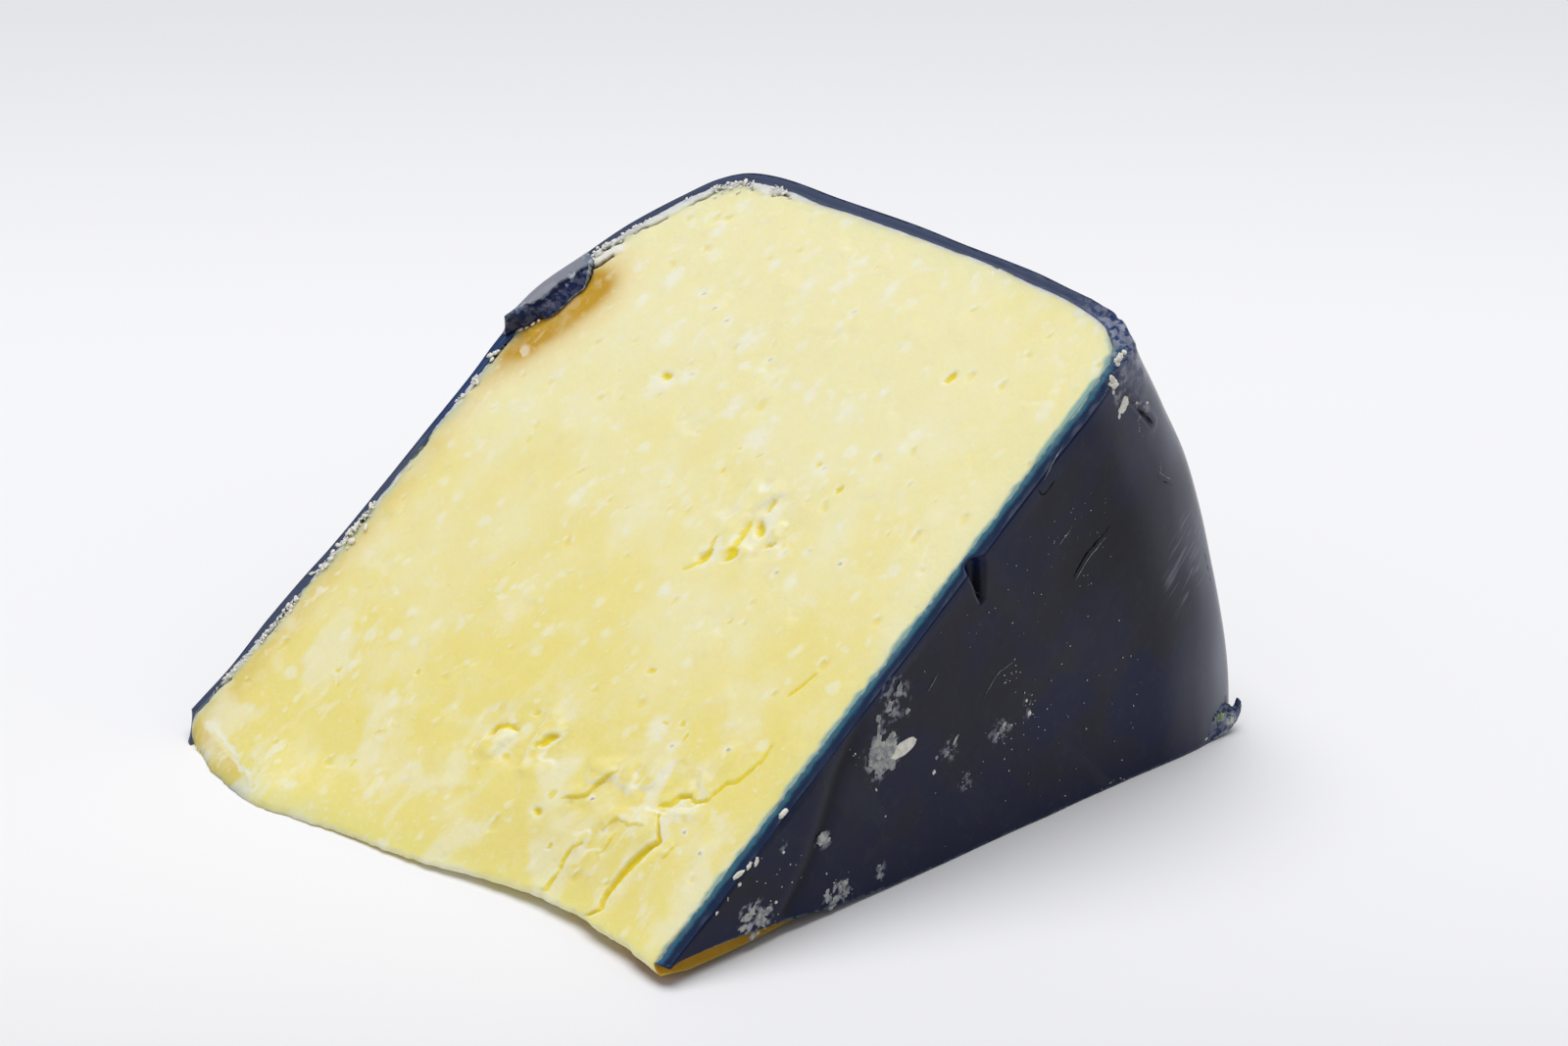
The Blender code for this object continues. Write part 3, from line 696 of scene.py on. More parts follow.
def pasteRelief(x, out):
    # height off the cut: broad swells, curd grain, torn chips, then openings and cracks sunk in;
    # also how hollow, how torn and how dark each point is, from 0 to 1
    shape = pasteShape
    broad, smaller = shape["swells"]
    height = broad * softNoise(x / 13, out / 17, 1) + smaller * softNoise(x / 4.5, out / 8, 2)
    height += shape["grain"] * roughNoise(x / 1.3, out / 2.4, 3, 3)
    torn, hollow, dark, chips = np.zeros((4, *height.shape))
    warpX = x + 0.35 * softNoise(x / 1.1, out / 1.1, 5)
    warpOut = out + 0.35 * softNoise(x / 1.1, out / 1.1, 6)
    for cx, cOut, reachX, reachOut in shape["chips"]:
        chips = np.maximum(chips, 1 - ((x - cx) / reachX) ** 2 - ((out - cOut) / reachOut) ** 2)
    chips = ramp(0.0, 0.6, chips + 0.35 * softNoise(x / 2.5, out / 3.5, 7))
    terrace = roughNoise(warpX / 3.0, warpOut / 5.5, 8, 2)
    step = ramp(0.02, 0.10, terrace) - ramp(-0.30, -0.24, -terrace) * 0.5
    height += chips * (0.28 * step + 0.12 * roughNoise(x / 0.9, out / 1.3, 9, 2))
    torn = np.maximum(torn, chips * ramp(0.10, 0.0, np.abs(terrace - 0.05)) * 0.8)
    # small tears: a shallow dip with a torn white lip on its far side
    tears = spots(warpX, warpOut * 0.7, *shape["tears"], 21)
    lips = spots(warpX + 0.3, warpOut * 0.7 - 0.25, *shape["tears"], 21)
    height -= shape["tearDepth"] * ramp(0.0, 0.7, tears)
    hollow = np.maximum(hollow, 0.30 * ramp(0.2, 0.9, tears))
    height += shape["lumpHeight"] * ramp(0.0, 0.7, lips) * ramp(0.3, 0.0, tears)
    torn = np.maximum(torn, 0.7 * ramp(0.1, 0.8, lips) * ramp(0.4, 0.0, tears))
    lumps = spots(warpX, warpOut * 0.6, *shape["lumps"], 31)
    height += shape["lumpHeight"] * ramp(0.0, 0.8, lumps)
    torn = np.maximum(torn, 0.45 * ramp(0.1, 0.9, lumps))
    patchy = ramp(-0.5, 0.3, roughNoise(x / 1.1, out / 1.6, 13, 2))
    for line, half, depth, lift in shape["lines"]:
        distance, place, side = toLine(warpX * 0.4 + x * 0.6, warpOut * 0.4 + out * 0.6, line)
        width = half * (0.35 + 0.65 * np.sin(np.pi * np.clip(place, 0.04, 0.96)) ** 0.6)
        inside = ramp(1.0, 0.35, distance / width)
        edge = (side > 0) * ramp(2.2, 0.2, distance) * ramp(0.0, 0.1, place) * ramp(1.0, 0.9, place)
        height += lift * edge
        height -= shape["lineShare"] * depth * inside
        hollow = np.maximum(hollow, ramp(0.0, 0.7, inside) * min(1.0, 0.45 + 0.8 * depth))
        rim = (side > 0) * ramp(1.3, 0.3, distance) * (1 - inside) * (lift > 0.12)
        torn = np.maximum(torn, 0.3 * rim * patchy)
    for cx, cOut, width, point in shape["curds"]:
        distance = np.hypot(warpX - cx, 0.8 * (warpOut - cOut)) / width
        torn = np.maximum(torn, 0.65 * ramp(0.8, 0.2, distance + 0.25 * softNoise(x / 0.6, out / 0.6, 14)))
        middle = np.hypot(x - cx, (out - cOut)) + 0.1 * softNoise(x / 0.2, out / 0.2, 15)
        dark = np.maximum(dark, point * ramp(0.26, 0.08, middle))
    for cx, cOut, length, width, depth, lean in shape["eyes"]:
        turn = math.radians(lean)
        long = (warpX - cx) * math.cos(turn) + (warpOut - cOut) * math.sin(turn)
        wide = (warpOut - cOut) * math.cos(turn) - (warpX - cx) * math.sin(turn)
        inside = 1 - (1.8 * long / length) ** 2 - (1.7 * (wide - 0.12 * long * long / length) / width) ** 2
        deep = ramp(0.0, 0.55, inside)
        height -= shape["eyeShare"] * depth * deep
        hollow = np.maximum(hollow, ramp(0.05, 0.6, inside) * min(1.0, 0.4 + 0.7 * depth))
        torn = np.maximum(torn, 0.45 * ramp(-2.2, -0.3, inside) * (1 - deep) * patchy)
    middle, half = crackAt(out)
    distance = np.abs(x - middle + 0.08 * softNoise(x * 0, out / 0.5, 12))
    inside = np.where(half > 0.02, ramp(1.05, 0.7, distance / np.maximum(half, 0.02)), 0)
    thickness = np.maximum(out * cutCos * slope - 1.3, 0.3)
    height -= np.minimum(shape["crackDepth"], 0.62 * thickness) * inside * ramp(0.05, 0.3, half)
    hollow = np.maximum(hollow * (1 - inside), inside)
    torn = np.maximum(torn, 0.25 * (half > 0) * ramp(1.6, 0.5, distance) * (1 - inside) * patchy)
    # the ridge where the worn left end meets the cut
    ridge = toLine(warpX, warpOut, shape["ridge"])[0]
    torn = np.maximum(torn, 0.8 * ramp(0.45, 0.15, ridge + 0.15 * softNoise(x / 0.5, out / 0.5, 16)))
    return height, hollow, torn * (1 - hollow), dark * (1 - hollow)


def pasteEdges(x, out):
    # beside the wax, by distance from it and place along it: a chalky crumbled fringe on the left,
    # thin gaps of painted shade behind the fringe, a narrow pale line at the rim and a dyed one on the right
    inner = sectionLine[:, 2:]
    away, share, _ = toLine(x, out, inner)
    along = share * np.hypot(*np.diff(inner, axis=0).T).sum()
    left = ramp(108, 100, along)
    right = ramp(rightCorner - 6, rightCorner, along)
    fine = roughNoise(x / 0.5, out / 0.5, 45, 3)
    crumbly = 0.45 + 0.55 * ramp(73, 77, along)  # more of it above the flap
    uneven = 0.8 * softNoise(along / 3.3, along * 0, 46) + 0.4 * softNoise(along / 1.1, along * 0, 47)
    wide = crumbly * (0.25 + uneven) + 0.4 * ramp(73, 77, along)
    torn = ramp(55.0, 56.5, along) * ramp(62.5, 61.5, along)  # none where the flap is torn off the cut
    wide = np.clip(wide, -0.3, 1.1) * left * ramp(2, 6, along) * (1 - torn)
    wide = wide + 0.16 * (1 - left) * (1 + softNoise(along / 2.0, along * 0, 48))
    chalk = ramp(0.15, -0.15, away + 0.3 * fine - wide) * (1 - right)
    height = chalk * left * (0.12 + 0.12 * roughNoise(x / 0.4, out / 0.4, 49, 2))
    open = left * ramp(0.0, 0.25, softNoise(along / 2.6, along * 0, 50))
    gapShade = open * ramp(0.2, 0.05, np.abs(away + 0.12 * fine - np.maximum(wide, 0.05) - 0.12))
    for line in pasteShape["gapLines"]:
        gapShade = np.maximum(gapShade, ramp(0.3, 0.14, toLine(x, out, line)[0] + 0.08 * fine))
    flake = ramp(0.75, 0.6, toLine(x, out, pasteShape["flake"])[0] + 0.15 * fine)
    height += 0.2 * flake
    chalk = np.maximum(chalk, flake)
    height -= 0.6 * gapShade
    dyed = right * ramp(0.75, 0.0, away + 0.3 * softNoise(along / 1.1, along * 0, 52) + 0.12 * fine)
    faintly = ramp(2.2, 0.2, away + 0.5 * softNoise(along / 2.4, along * 0, 53))
    dyed = np.maximum(dyed, 0.34 * left * faintly)
    return height, chalk * (1 - gapShade), gapShade, dyed


def pasteGrid():
    # between the cheese's four edges: the two ruled surfaces through facing edges are added,
    # and the flat one through the four corners is taken away
    left, right = sectionLine[0, 2], sectionLine[-1, 2]

    def pitch(x):
        # closer columns at the cracks, closest at the main one, and at both sides
        cracks = 0.12 * ramp(12, 16, x) * ramp(36, 33, x) + 0.11 * ramp(25.6, 26.2, x) * ramp(29.4, 28.8, x)
        sides = 0.21 * ramp(left + 3.2, left + 1.6, x) + 0.19 * ramp(right - 2.4, right - 1.2, x)
        return 0.36 - cracks - sides

    tipX = spread(left, right, pitch, pasteShape["columns"])
    out = spread(4.0, 96.0, lambda value: 0.2 + 0.16 * ramp(17, 28, value), pasteShape["rows"])
    u, v = ((tipX - left) / (right - left))[None, :, None], ((out - 4.0) / 92.0)[:, None, None]
    leftSide = sectionAt(v[:, 0, 0] * leftCorner)[:, None, 2:]
    rightSide = sectionAt(sectionEnd - v[:, 0, 0] * (sectionEnd - rightCorner))[:, None, 2:]
    rim = sectionAt(leftCorner + u[0, :, 0] * (rightCorner - leftCorner))[None, :, 2:]
    grain = 0.22 * roughNoise(tipX / 0.9, tipX * 0 + 3.3, 41, 3)
    grain = grain + 0.18 * roughNoise(tipX / 3.1, tipX * 0, 42, 2)
    grain *= ramp(left, left + 2, tipX) * ramp(right, right - 2, tipX)
    grids = []
    for name, scale in (("topY", 1 / cutCos), ("footY", 1.0)):
        tip = np.stack([tipX, (tipAt(name, tipX) + grain) * scale], -1)[None]
        start, end = leftSide[:1] * 0 + tip[:, :1], tip[:, -1:]
        leftMoved = leftSide + (start - leftSide[:1]) * fade(v * 12)
        rightMoved = rightSide + (end - rightSide[:1]) * fade(v * 12)
        corners = (1 - v) * ((1 - u) * start + u * end) + v * ((1 - u) * rim[:, :1] + u * rim[:, -1:])
        grids.append((1 - v) * tip + v * rim + (1 - u) * leftMoved + u * rightMoved - corners)
    return grids


def buildPaste():
    # the upper cut's grid lifted by its relief, then the nose, the lower cut and the rim wall, which
    # close it all round
    shape = pasteShape
    top, under = pasteGrid()
    x, out = top[..., 0], top[..., 1]
    middle = crackAt(out)[0] - shape["crackMiddle"]
    x = x + middle * np.exp(-((x - shape["crackMiddle"]) / 4.5) ** 2) * ramp(27, 19, out)
    height, hollow, torn, speck = pasteRelief(x, out)
    edgeHeight, chalk, gapShade, dyed = pasteEdges(x, out)
    height += edgeHeight
    edge = np.minimum(np.arange(len(x))[:, None] / 1.5, 1) * np.ones_like(x)
    y = out * cutCos
    upper = np.stack([x, y - height * edge * cutSin, upperCut(x, y) + height * edge * cutCos], -1)
    # under side: the same columns, a few rows, z on the lower cut
    pick = np.unique(np.round(np.linspace(0, len(x) - 1, shape["underRows"])).astype(int))
    under = under[pick]
    leftEnd = fade((under[..., 1] - 2.0) / 9.0) * fade((under[..., 0] + 41.8) / 6.0)
    under[..., 0] += 1.75 * leftEnd  # drawn in with the blunt left end of the wax
    # and out below the raised right one
    underY = under[..., 1]
    under[..., 0] += 1.7 * ramp(36.5, 39.8, under[..., 0]) * ramp(0.5, 4, underY) * fade((underY - 8) / 28)
    raised = lowerCut(under[..., 0], underY)
    sunk = raised - 0.6 * ramp(38.5, 41.4, under[..., 0]) * ramp(0.5, 4, underY) * fade((underY - 8) / 34)
    lower = np.stack([under[..., 0], underY, np.maximum(sunk, np.minimum(raised, 0.05))], -1)
    # nose: from the top edge to the foot, bulging a little
    t = (np.arange(1, shape["noseRows"] + 1) / (shape["noseRows"] + 1))[:, None, None]
    nose = upper[:1] * (1 - t) + lower[:1] * t
    tall = upper[:1, :, 2:] - lower[:1, :, 2:]
    nose[..., 1:2] -= 0.16 * tall * np.sin(np.pi * t)
    blotchy = roughNoise(nose[..., 0] / 0.7, nose[..., 2] / 0.7, 51, 2)
    nose[..., 1] += 0.10 * blotchy * np.sin(np.pi * t[..., 0])
    # rim wall: the rim curve turned about the tip line from the lower to the upper cut
    turn = (np.arange(1, shape["rimRows"] + 1) / (shape["rimRows"] + 1))[:, None] * wedge["cutAngle"]
    rimX, rimOut = top[-1, :, 0], top[-1, :, 1]
    wall = np.stack([rimX + 0 * turn, rimOut * np.cos(turn), rimOut * np.sin(turn)], -1)
    points = np.concatenate([upper[::-1], nose, lower, wall])
    # painted shadow, yellower where the flap shades the cut, and painted shade along the left side and under
    # the thin tip
    shadow = toLine(x, out, shape["flapShadow"])[0]
    goldenShade = 0.9 * np.exp(-(shadow / 2.2) ** 2) + 0.55 * np.exp(-(shadow / 5.5) ** 2)
    goldenShade += 0.35 * ramp(-34, -40, x)
    values = {"hollow": hollow * edge, "torn": torn, "speck": speck, "goldenShade": np.clip(goldenShade, 0, 1),
              "dyed": dyed, "chalk": chalk, "gapShade": gapShade}
    rest = np.zeros((len(points) - len(upper), len(x[0])))
    values = {key: np.concatenate([value[::-1], rest]) for key, value in values.items()}
    count, noseStart = len(points), len(upper)
    noseEnd = noseStart + shape["noseRows"]
    # on the nose: painted light, whiter towards the right, and painted shade, yellower towards the left
    values["torn"][noseStart:noseEnd] = 0.3 * ramp(-24, -14, x[0])
    values["goldenShade"][noseStart:noseEnd] = 0.16 + 0.3 * ramp(-20, -28, x[0])
    # painted shade under the raised tip, deepening to amber towards the right
    rightUnder = 0.5 * ramp(16, 26, lower[..., 0]) + 1.4 * ramp(32, 37, lower[..., 0])
    values["goldenShade"][noseEnd:noseEnd + len(lower)] = ramp(60, 30, lower[..., 1]) * rightUnder
    # painted shade also down the right side below the foot of the wax
    rightEdge = points[..., -1, 1]
    values["goldenShade"][..., -1] = np.maximum(values["goldenShade"][..., -1], 1.6 * ramp(60, 30, rightEdge))
    for key in ("dyed", "torn", "chalk"):
        values[key][..., -1] *= ramp(15, 40, rightEdge)
    around = np.concatenate([[0], np.arange(count - 1, noseStart - 2, -1)])
    ends = closeSides(points, np.arange(noseStart), around, False)
    quads = gridFaces(*points.shape[:2], wrapRows=True)
    return addPiece("cheesePaste", points, quads, ends, paste, values)


cheesePaste = buildPaste()
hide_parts("cheese")


waxShape = {
    "columns": 520,
    "outsideRows": 150,
    "bandRows": 9,
    "insideRows": 6,
    "footLift": 1.2,  # the right foot clears the cheese this much at the tip
    "footSwell": 1.3,  # how far the right end of the rim bulges at the table
    "wallPinch": 0.5,  # and how far it draws in below the upper cut
    "ripples": (0.16, 0.05),  # heights of the broad and of the smaller ripples
    # a dent, a nick and a gouge on the right face: y and z of each point
    "dent": ((31.6, 23.0), (30.3, 20.7), (28.4, 17.5), (26.2, 13.1), (23.5, 7.1), (20.1, 2.2)),
    "dentDepth": 0.3,
    "crumple": 0.36,  # relief of the scraped corner
    "nick": ((47.8, 36.6), (49.0, 34.5), (50.0, 30.3)),
    "nickDepth": 1.5,
    "gouge": ((73.3, 47.9), (75.2, 45.9), (77.0, 43.9)),
    # bluer places on the right face: y, z, reach along y, reach along z and strength
    "bluer": (
        (77.0, 9.0, 7.0, 8.0, 1.0), (63.0, 13.0, 7.0, 5.0, 0.9), (70.0, 19.0, 6.0, 7.0, 0.6),
        (50.0, 27.0, 4.0, 3.0, 0.5), (58.0, 33.0, 6.0, 5.0, 0.4), (45.0, 5.0, 8.0, 4.0, 0.7),
    ),
    # a darker place and a finely scuffed one: y, z, reach along y and reach along z
    "darkerPatch": (68.5, 31.0, 8.0, 11.0),
    "scuffed": (83.5, 25.0, 4.5, 7.0),
    # dusty places on the right face: y, z, reach along y, reach along z and strength
    "dust": (
        (36.4, 22.6, 3.0, 3.2, 0.55), (34.4, 17.0, 3.0, 3.6, 0.7), (15.2, 3.6, 2.8, 2.8, 0.8),
        (27.8, 2.3, 2.2, 1.8, 0.7), (34.3, 2.5, 0.8, 1.6, 0.5), (45.0, 13.8, 1.6, 1.6, 0.5),
        (53.2, 13.4, 2.2, 1.6, 0.45), (47.6, 8.9, 1.3, 1.2, 0.35), (25.7, 9.5, 1.1, 1.1, 0.8),
        (19.6, 11.0, 0.6, 1.1, 0.5), (71.3, 50.5, 1.6, 3.2, 0.5), (75.4, 46.2, 1.6, 1.8, 0.45),
        (91.0, 2.4, 1.6, 1.4, 0.5), (57.5, 15.0, 0.8, 1.6, 0.5),
    ),
}


def onWall(x, out, turn):
    # a point of the wheel turned about the tip line; z goes from the lower cut to the upper one as the
    # tangent of the turn goes to the slope
    y = out * np.cos(turn)
    share = np.tan(turn) / slope
    low = lowerCut(x, y)
    return x, y, low + (upperCut(x, y) - low) * share


def buildWax():
    # the section turned about the tip line from the lower to the upper cut and moved along its normal
    # by noise, dents and swells, then the band along the cut, the inside and the foot
    shape = waxShape

    def pitch(place):
        # closer columns over the rounded corners of the rim
        return 1.0 - 0.4 * ramp(88, 96, place) - 0.25 * ramp(rightCorner - 12, rightCorner - 6, place)

    place = spread(0, sectionEnd, pitch, shape["columns"])
    at = place[None, :]
    line = sectionAt(place)
    outX, outOut, inX, inOut = (line[None, :, k] for k in range(4))
    along = np.gradient(line[:, :2], axis=0)
    along /= np.hypot(*along.T)[:, None]
    normalX, normalOut = -along[None, :, 1], along[None, :, 0]
    share = np.linspace(0, 1, shape["outsideRows"])[:, None]
    turn = share * wedge["cutAngle"]
    # outside: the section turned about the tip line, then moved along its own normal
    x, y, z = onWall(outX + 0 * share, outOut + 0 * share, turn)
    rightward = ramp(rightCorner - 1, rightCorner + 6, at) + 0 * share
    corner = np.exp(-((at - rightCorner - 1.5) / 5.0) ** 2)
    broad, smaller = shape["ripples"]
    move = broad * softNoise(at / 17, z / 13, 61) + smaller * softNoise(at / 5, z / 5, 62)
    move = move * ramp(0.0, 0.06, 1 - share)
    scrapeHere = np.exp(-((at - rightCorner - 0.5) / 5.5) ** 2)
    scrape = scrapeHere * ramp(0.90, 0.98, share + 0.03 * softNoise(at / 2.3, at * 0, 66))
    move = move + scrape * shape["crumple"] * roughNoise(at / 1.5, z / 1.1, 65, 3)
    dent = toLine(y, z, shape["dent"])[0]
    groove = rightward * ramp(24, 18, z)
    move -= shape["dentDepth"] * groove * np.exp(-(dent / 1.3) ** 2)
    nick, nickPlace, _ = toLine(y, z, shape["nick"])
    nickWidth = 0.25 + 1.9 * (1 - nickPlace)
    nickDepth = rightward * shape["nickDepth"] * ramp(1.0, 0.25, nick / nickWidth) * (nickPlace < 0.999)
    move -= nickDepth
    gouge = toLine(y, z, shape["gouge"])[0]
    move += rightward * (0.22 * np.exp(-((gouge - 0.7) / 0.35) ** 2) - 0.25 * np.exp(-(gouge / 0.45) ** 2))
    # a painted highlight: lighter along the foot, in blotches
    low = lowerCut(x, y)
    blotchy = 0.5 + 0.5 * softNoise(at / 2.1, at * 0, 67)
    rubAndHighlight = 0.9 * ramp(0.3, 0.05, z - low) * (0.5 + 0.5 * blotchy)
    # painted sheen towards the rim and faintly on the left, bluer at the foot and just below the cut, finely
    # scuffed in one patch
    rimward = np.hypot(y, z) + 1.4 * softNoise(y / 14, z / 9, 68)
    brighter = 0.2 * ramp(80, 87, rimward) + 0.35 * ramp(86, 89.5, rimward) + 0.45 * ramp(88.5, 92, rimward)
    brighter = rightward * brighter * (0.8 + 0.2 * softNoise(y / 3.0, z / 10, 69))
    brighter = np.maximum(brighter, 0.14 * (1 - rightward) * (0.8 + 0.2 * softNoise(at / 9, z / 9, 70)))
    bluer = np.maximum(0.85 * ramp(7, 0, z - low), 0.95 * ramp(0.94, 0.985, share))

    def near(patch, noise):
        # distance from the patch's middle in shares of its reach, roughened by the noise
        cy, cz, reachY, reachZ = patch
        return np.hypot((y - cy) / reachY, (z - cz) / reachZ) + noise

    for *patch, strength in shape["bluer"]:
        spot = ramp(1.0, 0.6, near(patch, 0.35 * roughNoise(y / 5, z / 5, 72, 3)))
        bluer = np.maximum(bluer, strength * rightward * spot)
    darkerPatch = ramp(1.0, 0.3, near(shape["darkerPatch"], 0.4 * roughNoise(y / 5, z / 5, 74, 3)))
    shade = rightward * 0.55 * darkerPatch
    shade = np.maximum(0.75 * groove * np.exp(-(dent / 0.8) ** 2), shade)
    scuff = 0.28 * rightward * ramp(1.0, 0.5, near(shape["scuffed"], 0.2 * softNoise(y / 2, z / 2, 73)))
    degrees = np.degrees(turn)
    push = shape["footSwell"] * ramp(15, 2, degrees)
    push = push - shape["wallPinch"] * ramp(23, 29, degrees) * ramp(35.3, 34.2, degrees)
    x = x + normalX * move
    reach = normalOut * move + corner * push
    y, z = y + reach * np.cos(turn), z + reach * np.sin(turn)

    def bluntEnds(x, y, z, share):
        # both ends drawn in below the cut, and the right foot lifted clear of the cheese
        for end, sign, shiftX, shiftY in ((0.0, 1, 1.7, -3.0), (sectionEnd, -1, 0.0, -0.8)):
            near = fade(sign * (at - end) / 7.0) * (1 - share)
            x, y = x + shiftX * near, y + shiftY * near
        lift = shape["footLift"] * rightward[:1] * (1 - share) ** 2
        return np.stack([x, y, z + lift * ramp(0.5, 4, y) * fade((y - 8) / 26)], -1)

    outside = bluntEnds(x, y, z, share)
    x, y, z = (outside[..., k] for k in range(3))
    # cut band: from the outside edge to the cheese, with a rounded lip and a shallow groove
    across = np.linspace(0, 1, shape["bandRows"] + 2)[1:-1, None]
    topX, topOut = outX * (1 - across) + inX * across, outOut * (1 - across) + inOut * across
    topX = topX - (1 - across) * nickDepth[-1:] * 0.8
    bandX, bandY, bandZ = onWall(topX, topOut, wedge["cutAngle"] + 0 * across)
    lift = 0.05 * np.sin(np.pi * np.clip(across * 1.6, 0, 1)) + 0.07 * softNoise(at / 1.7, across * 3, 63)
    lift -= 0.06 * np.exp(-((across - 0.72) / 0.12) ** 2)
    lift += scrapeHere * shape["crumple"] * roughNoise(at / 1.3, across * 2.4, 64, 3)
    band = np.stack([bandX, bandY - lift * cutSin, bandZ + lift * cutCos], -1)
    # inside, and back along the lower cut
    down = np.linspace(1, 0, shape["insideRows"])[:, None]
    inside = bluntEnds(*onWall(inX + 0 * down, inOut + 0 * down, down * wedge["cutAngle"]), down)
    back = np.array([0.67, 0.33])[:, None, None]
    floorBand = inside[-1:] * back + outside[:1] * (1 - back)
    points = np.concatenate([outside, band, inside, floorBand])
    dust = np.zeros_like(x)
    for cy, cz, reachY, reachZ, strength in shape["dust"]:
        spot = 1 - ((y - cy) / reachY) ** 2 - ((z - cz) / reachZ) ** 2
        dust = np.maximum(dust, strength * ramp(0.0, 0.7, spot + 0.6 * roughNoise(y / 0.9, z / 0.9, 71, 3)))
    blank = np.zeros((len(points) - len(x), len(place)))
    values = {"dust": dust * rightward, "rubAndHighlight": rubAndHighlight, "shade": shade,
              "sheenAndScuff": 0.75 * brighter, "blue": bluer, "scuff": scuff}
    values = {key: np.concatenate([value, blank]) for key, value in values.items()}
    scraped = np.concatenate([scrapeHere + 0 * across, np.zeros((len(inside) + len(back), len(place)))])
    navy = 0.85 * ramp(40, 48, at) * ramp(66, 63, at)
    bandParts = [0 * x, across + 0 * outX, np.ones(inside.shape[:2]), back[..., 0] + 0 * outX]
    values |= {"band": np.concatenate(bandParts), "scrape": np.concatenate([scrape, scraped]),
               "teal": ramp(rightCorner - 2, rightCorner + 8, at) + np.zeros((len(points), 1)),
               "navy": np.concatenate([0 * x, navy + blank])}
    # the outside from the cut down to the foot, and the rest the other way round
    last = len(outside) - 1
    other = np.concatenate([np.arange(last, len(points)), [0]])
    ends = closeSides(points, np.arange(last, -1, -1), other, True)
    quads = gridFaces(*points.shape[:2], wrapRows=True)
    return addPiece("waxCoat", points, quads, ends, wax, values)


waxCoat = buildWax()
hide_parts("wax_coat")


# the wax of the left side bent over the cut: its cross-section runs inwards from the wax (first number)
# and up off the cut (second), once along its outside and once along its inside
flapShape = {
    "from": 59.5,  # lengths along the section
    "to": 74.1,
    "outside": (
        (-0.05, -0.9), (0.0, 0.0), (0.4, 0.42), (0.9, 0.8), (1.6, 1.1), (2.4, 1.25), (3.0, 1.2),
        (3.6, 0.9), (4.0, 0.6), (4.3, 0.3),
    ),
    "inside": (
        (1.3, -0.9), (1.35, -0.5), (1.4, -0.2), (1.6, 0.0), (2.0, 0.15), (2.6, 0.25), (3.2, 0.28),
        (3.7, 0.22), (4.0, 0.18), (4.2, 0.12),
    ),
    # how far it reaches inwards, how much it rises and where its edge is torn off, along it
    "places": (
        0.0, 0.048, 0.077, 0.105, 0.134, 0.196, 0.248, 0.272, 0.291, 0.334, 0.386, 0.448, 0.629, 0.762,
        0.81, 0.841, 0.9, 0.949, 1.0,
    ),
    "reach": (
        0.8, 1.6, 2.0, 2.4, 3.1, 3.35, 3.6, 4.1, 4.95, 5.25, 5.5, 5.5, 5.65, 5.6, 5.55, 5.5, 5.5, 5.5,
        5.5,
    ),
    "rise": (
        0.35, 1.5, 2.2, 2.2, 2.2, 2.0, 1.95, 1.95, 2.0, 1.95, 1.9, 1.8, 1.4, 1.2, 1.15, 1.1, 1.05, 1.0,
        0.9,
    ),
    "until": (
        1.0, 1.0, 1.0, 1.0, 1.0, 1.0, 1.0, 1.0, 1.0, 1.0, 1.0, 1.0, 1.0, 1.0, 1.0, 0.95, 0.80, 0.66, 0.45,
    ),
    "columns": 220,
    "rows": 90,
    "ridge": 0.61,  # where the smooth outside ends and the dark torn roll begins, in shares of the reach
    "lobe": (0.3, 0.24),  # the rougher left lobe ends between these shares of the length
}


def onCut(x, out, height):
    # a point over the upper cut
    return np.stack([x, out * cutCos - height * cutSin, out * cutSin + height * cutCos], -1)


def sheet(front, back):
    # two grids of points, one behind the other, joined round the border
    rows, columns = front.shape[:2]
    quads = gridFaces(rows, columns)
    ids = np.arange(rows * columns).reshape(rows, columns)
    border = np.concatenate([ids[0, :-1], ids[:-1, -1], ids[-1, :0:-1], ids[:0:-1, 0]])
    ahead = np.roll(border, -1)
    size = rows * columns
    sides = np.stack([border, border + size, ahead + size, ahead], -1)
    points = np.concatenate([front.reshape(-1, 3), back.reshape(-1, 3)])
    return points, np.concatenate([quads, quads[:, ::-1] + size, sides])


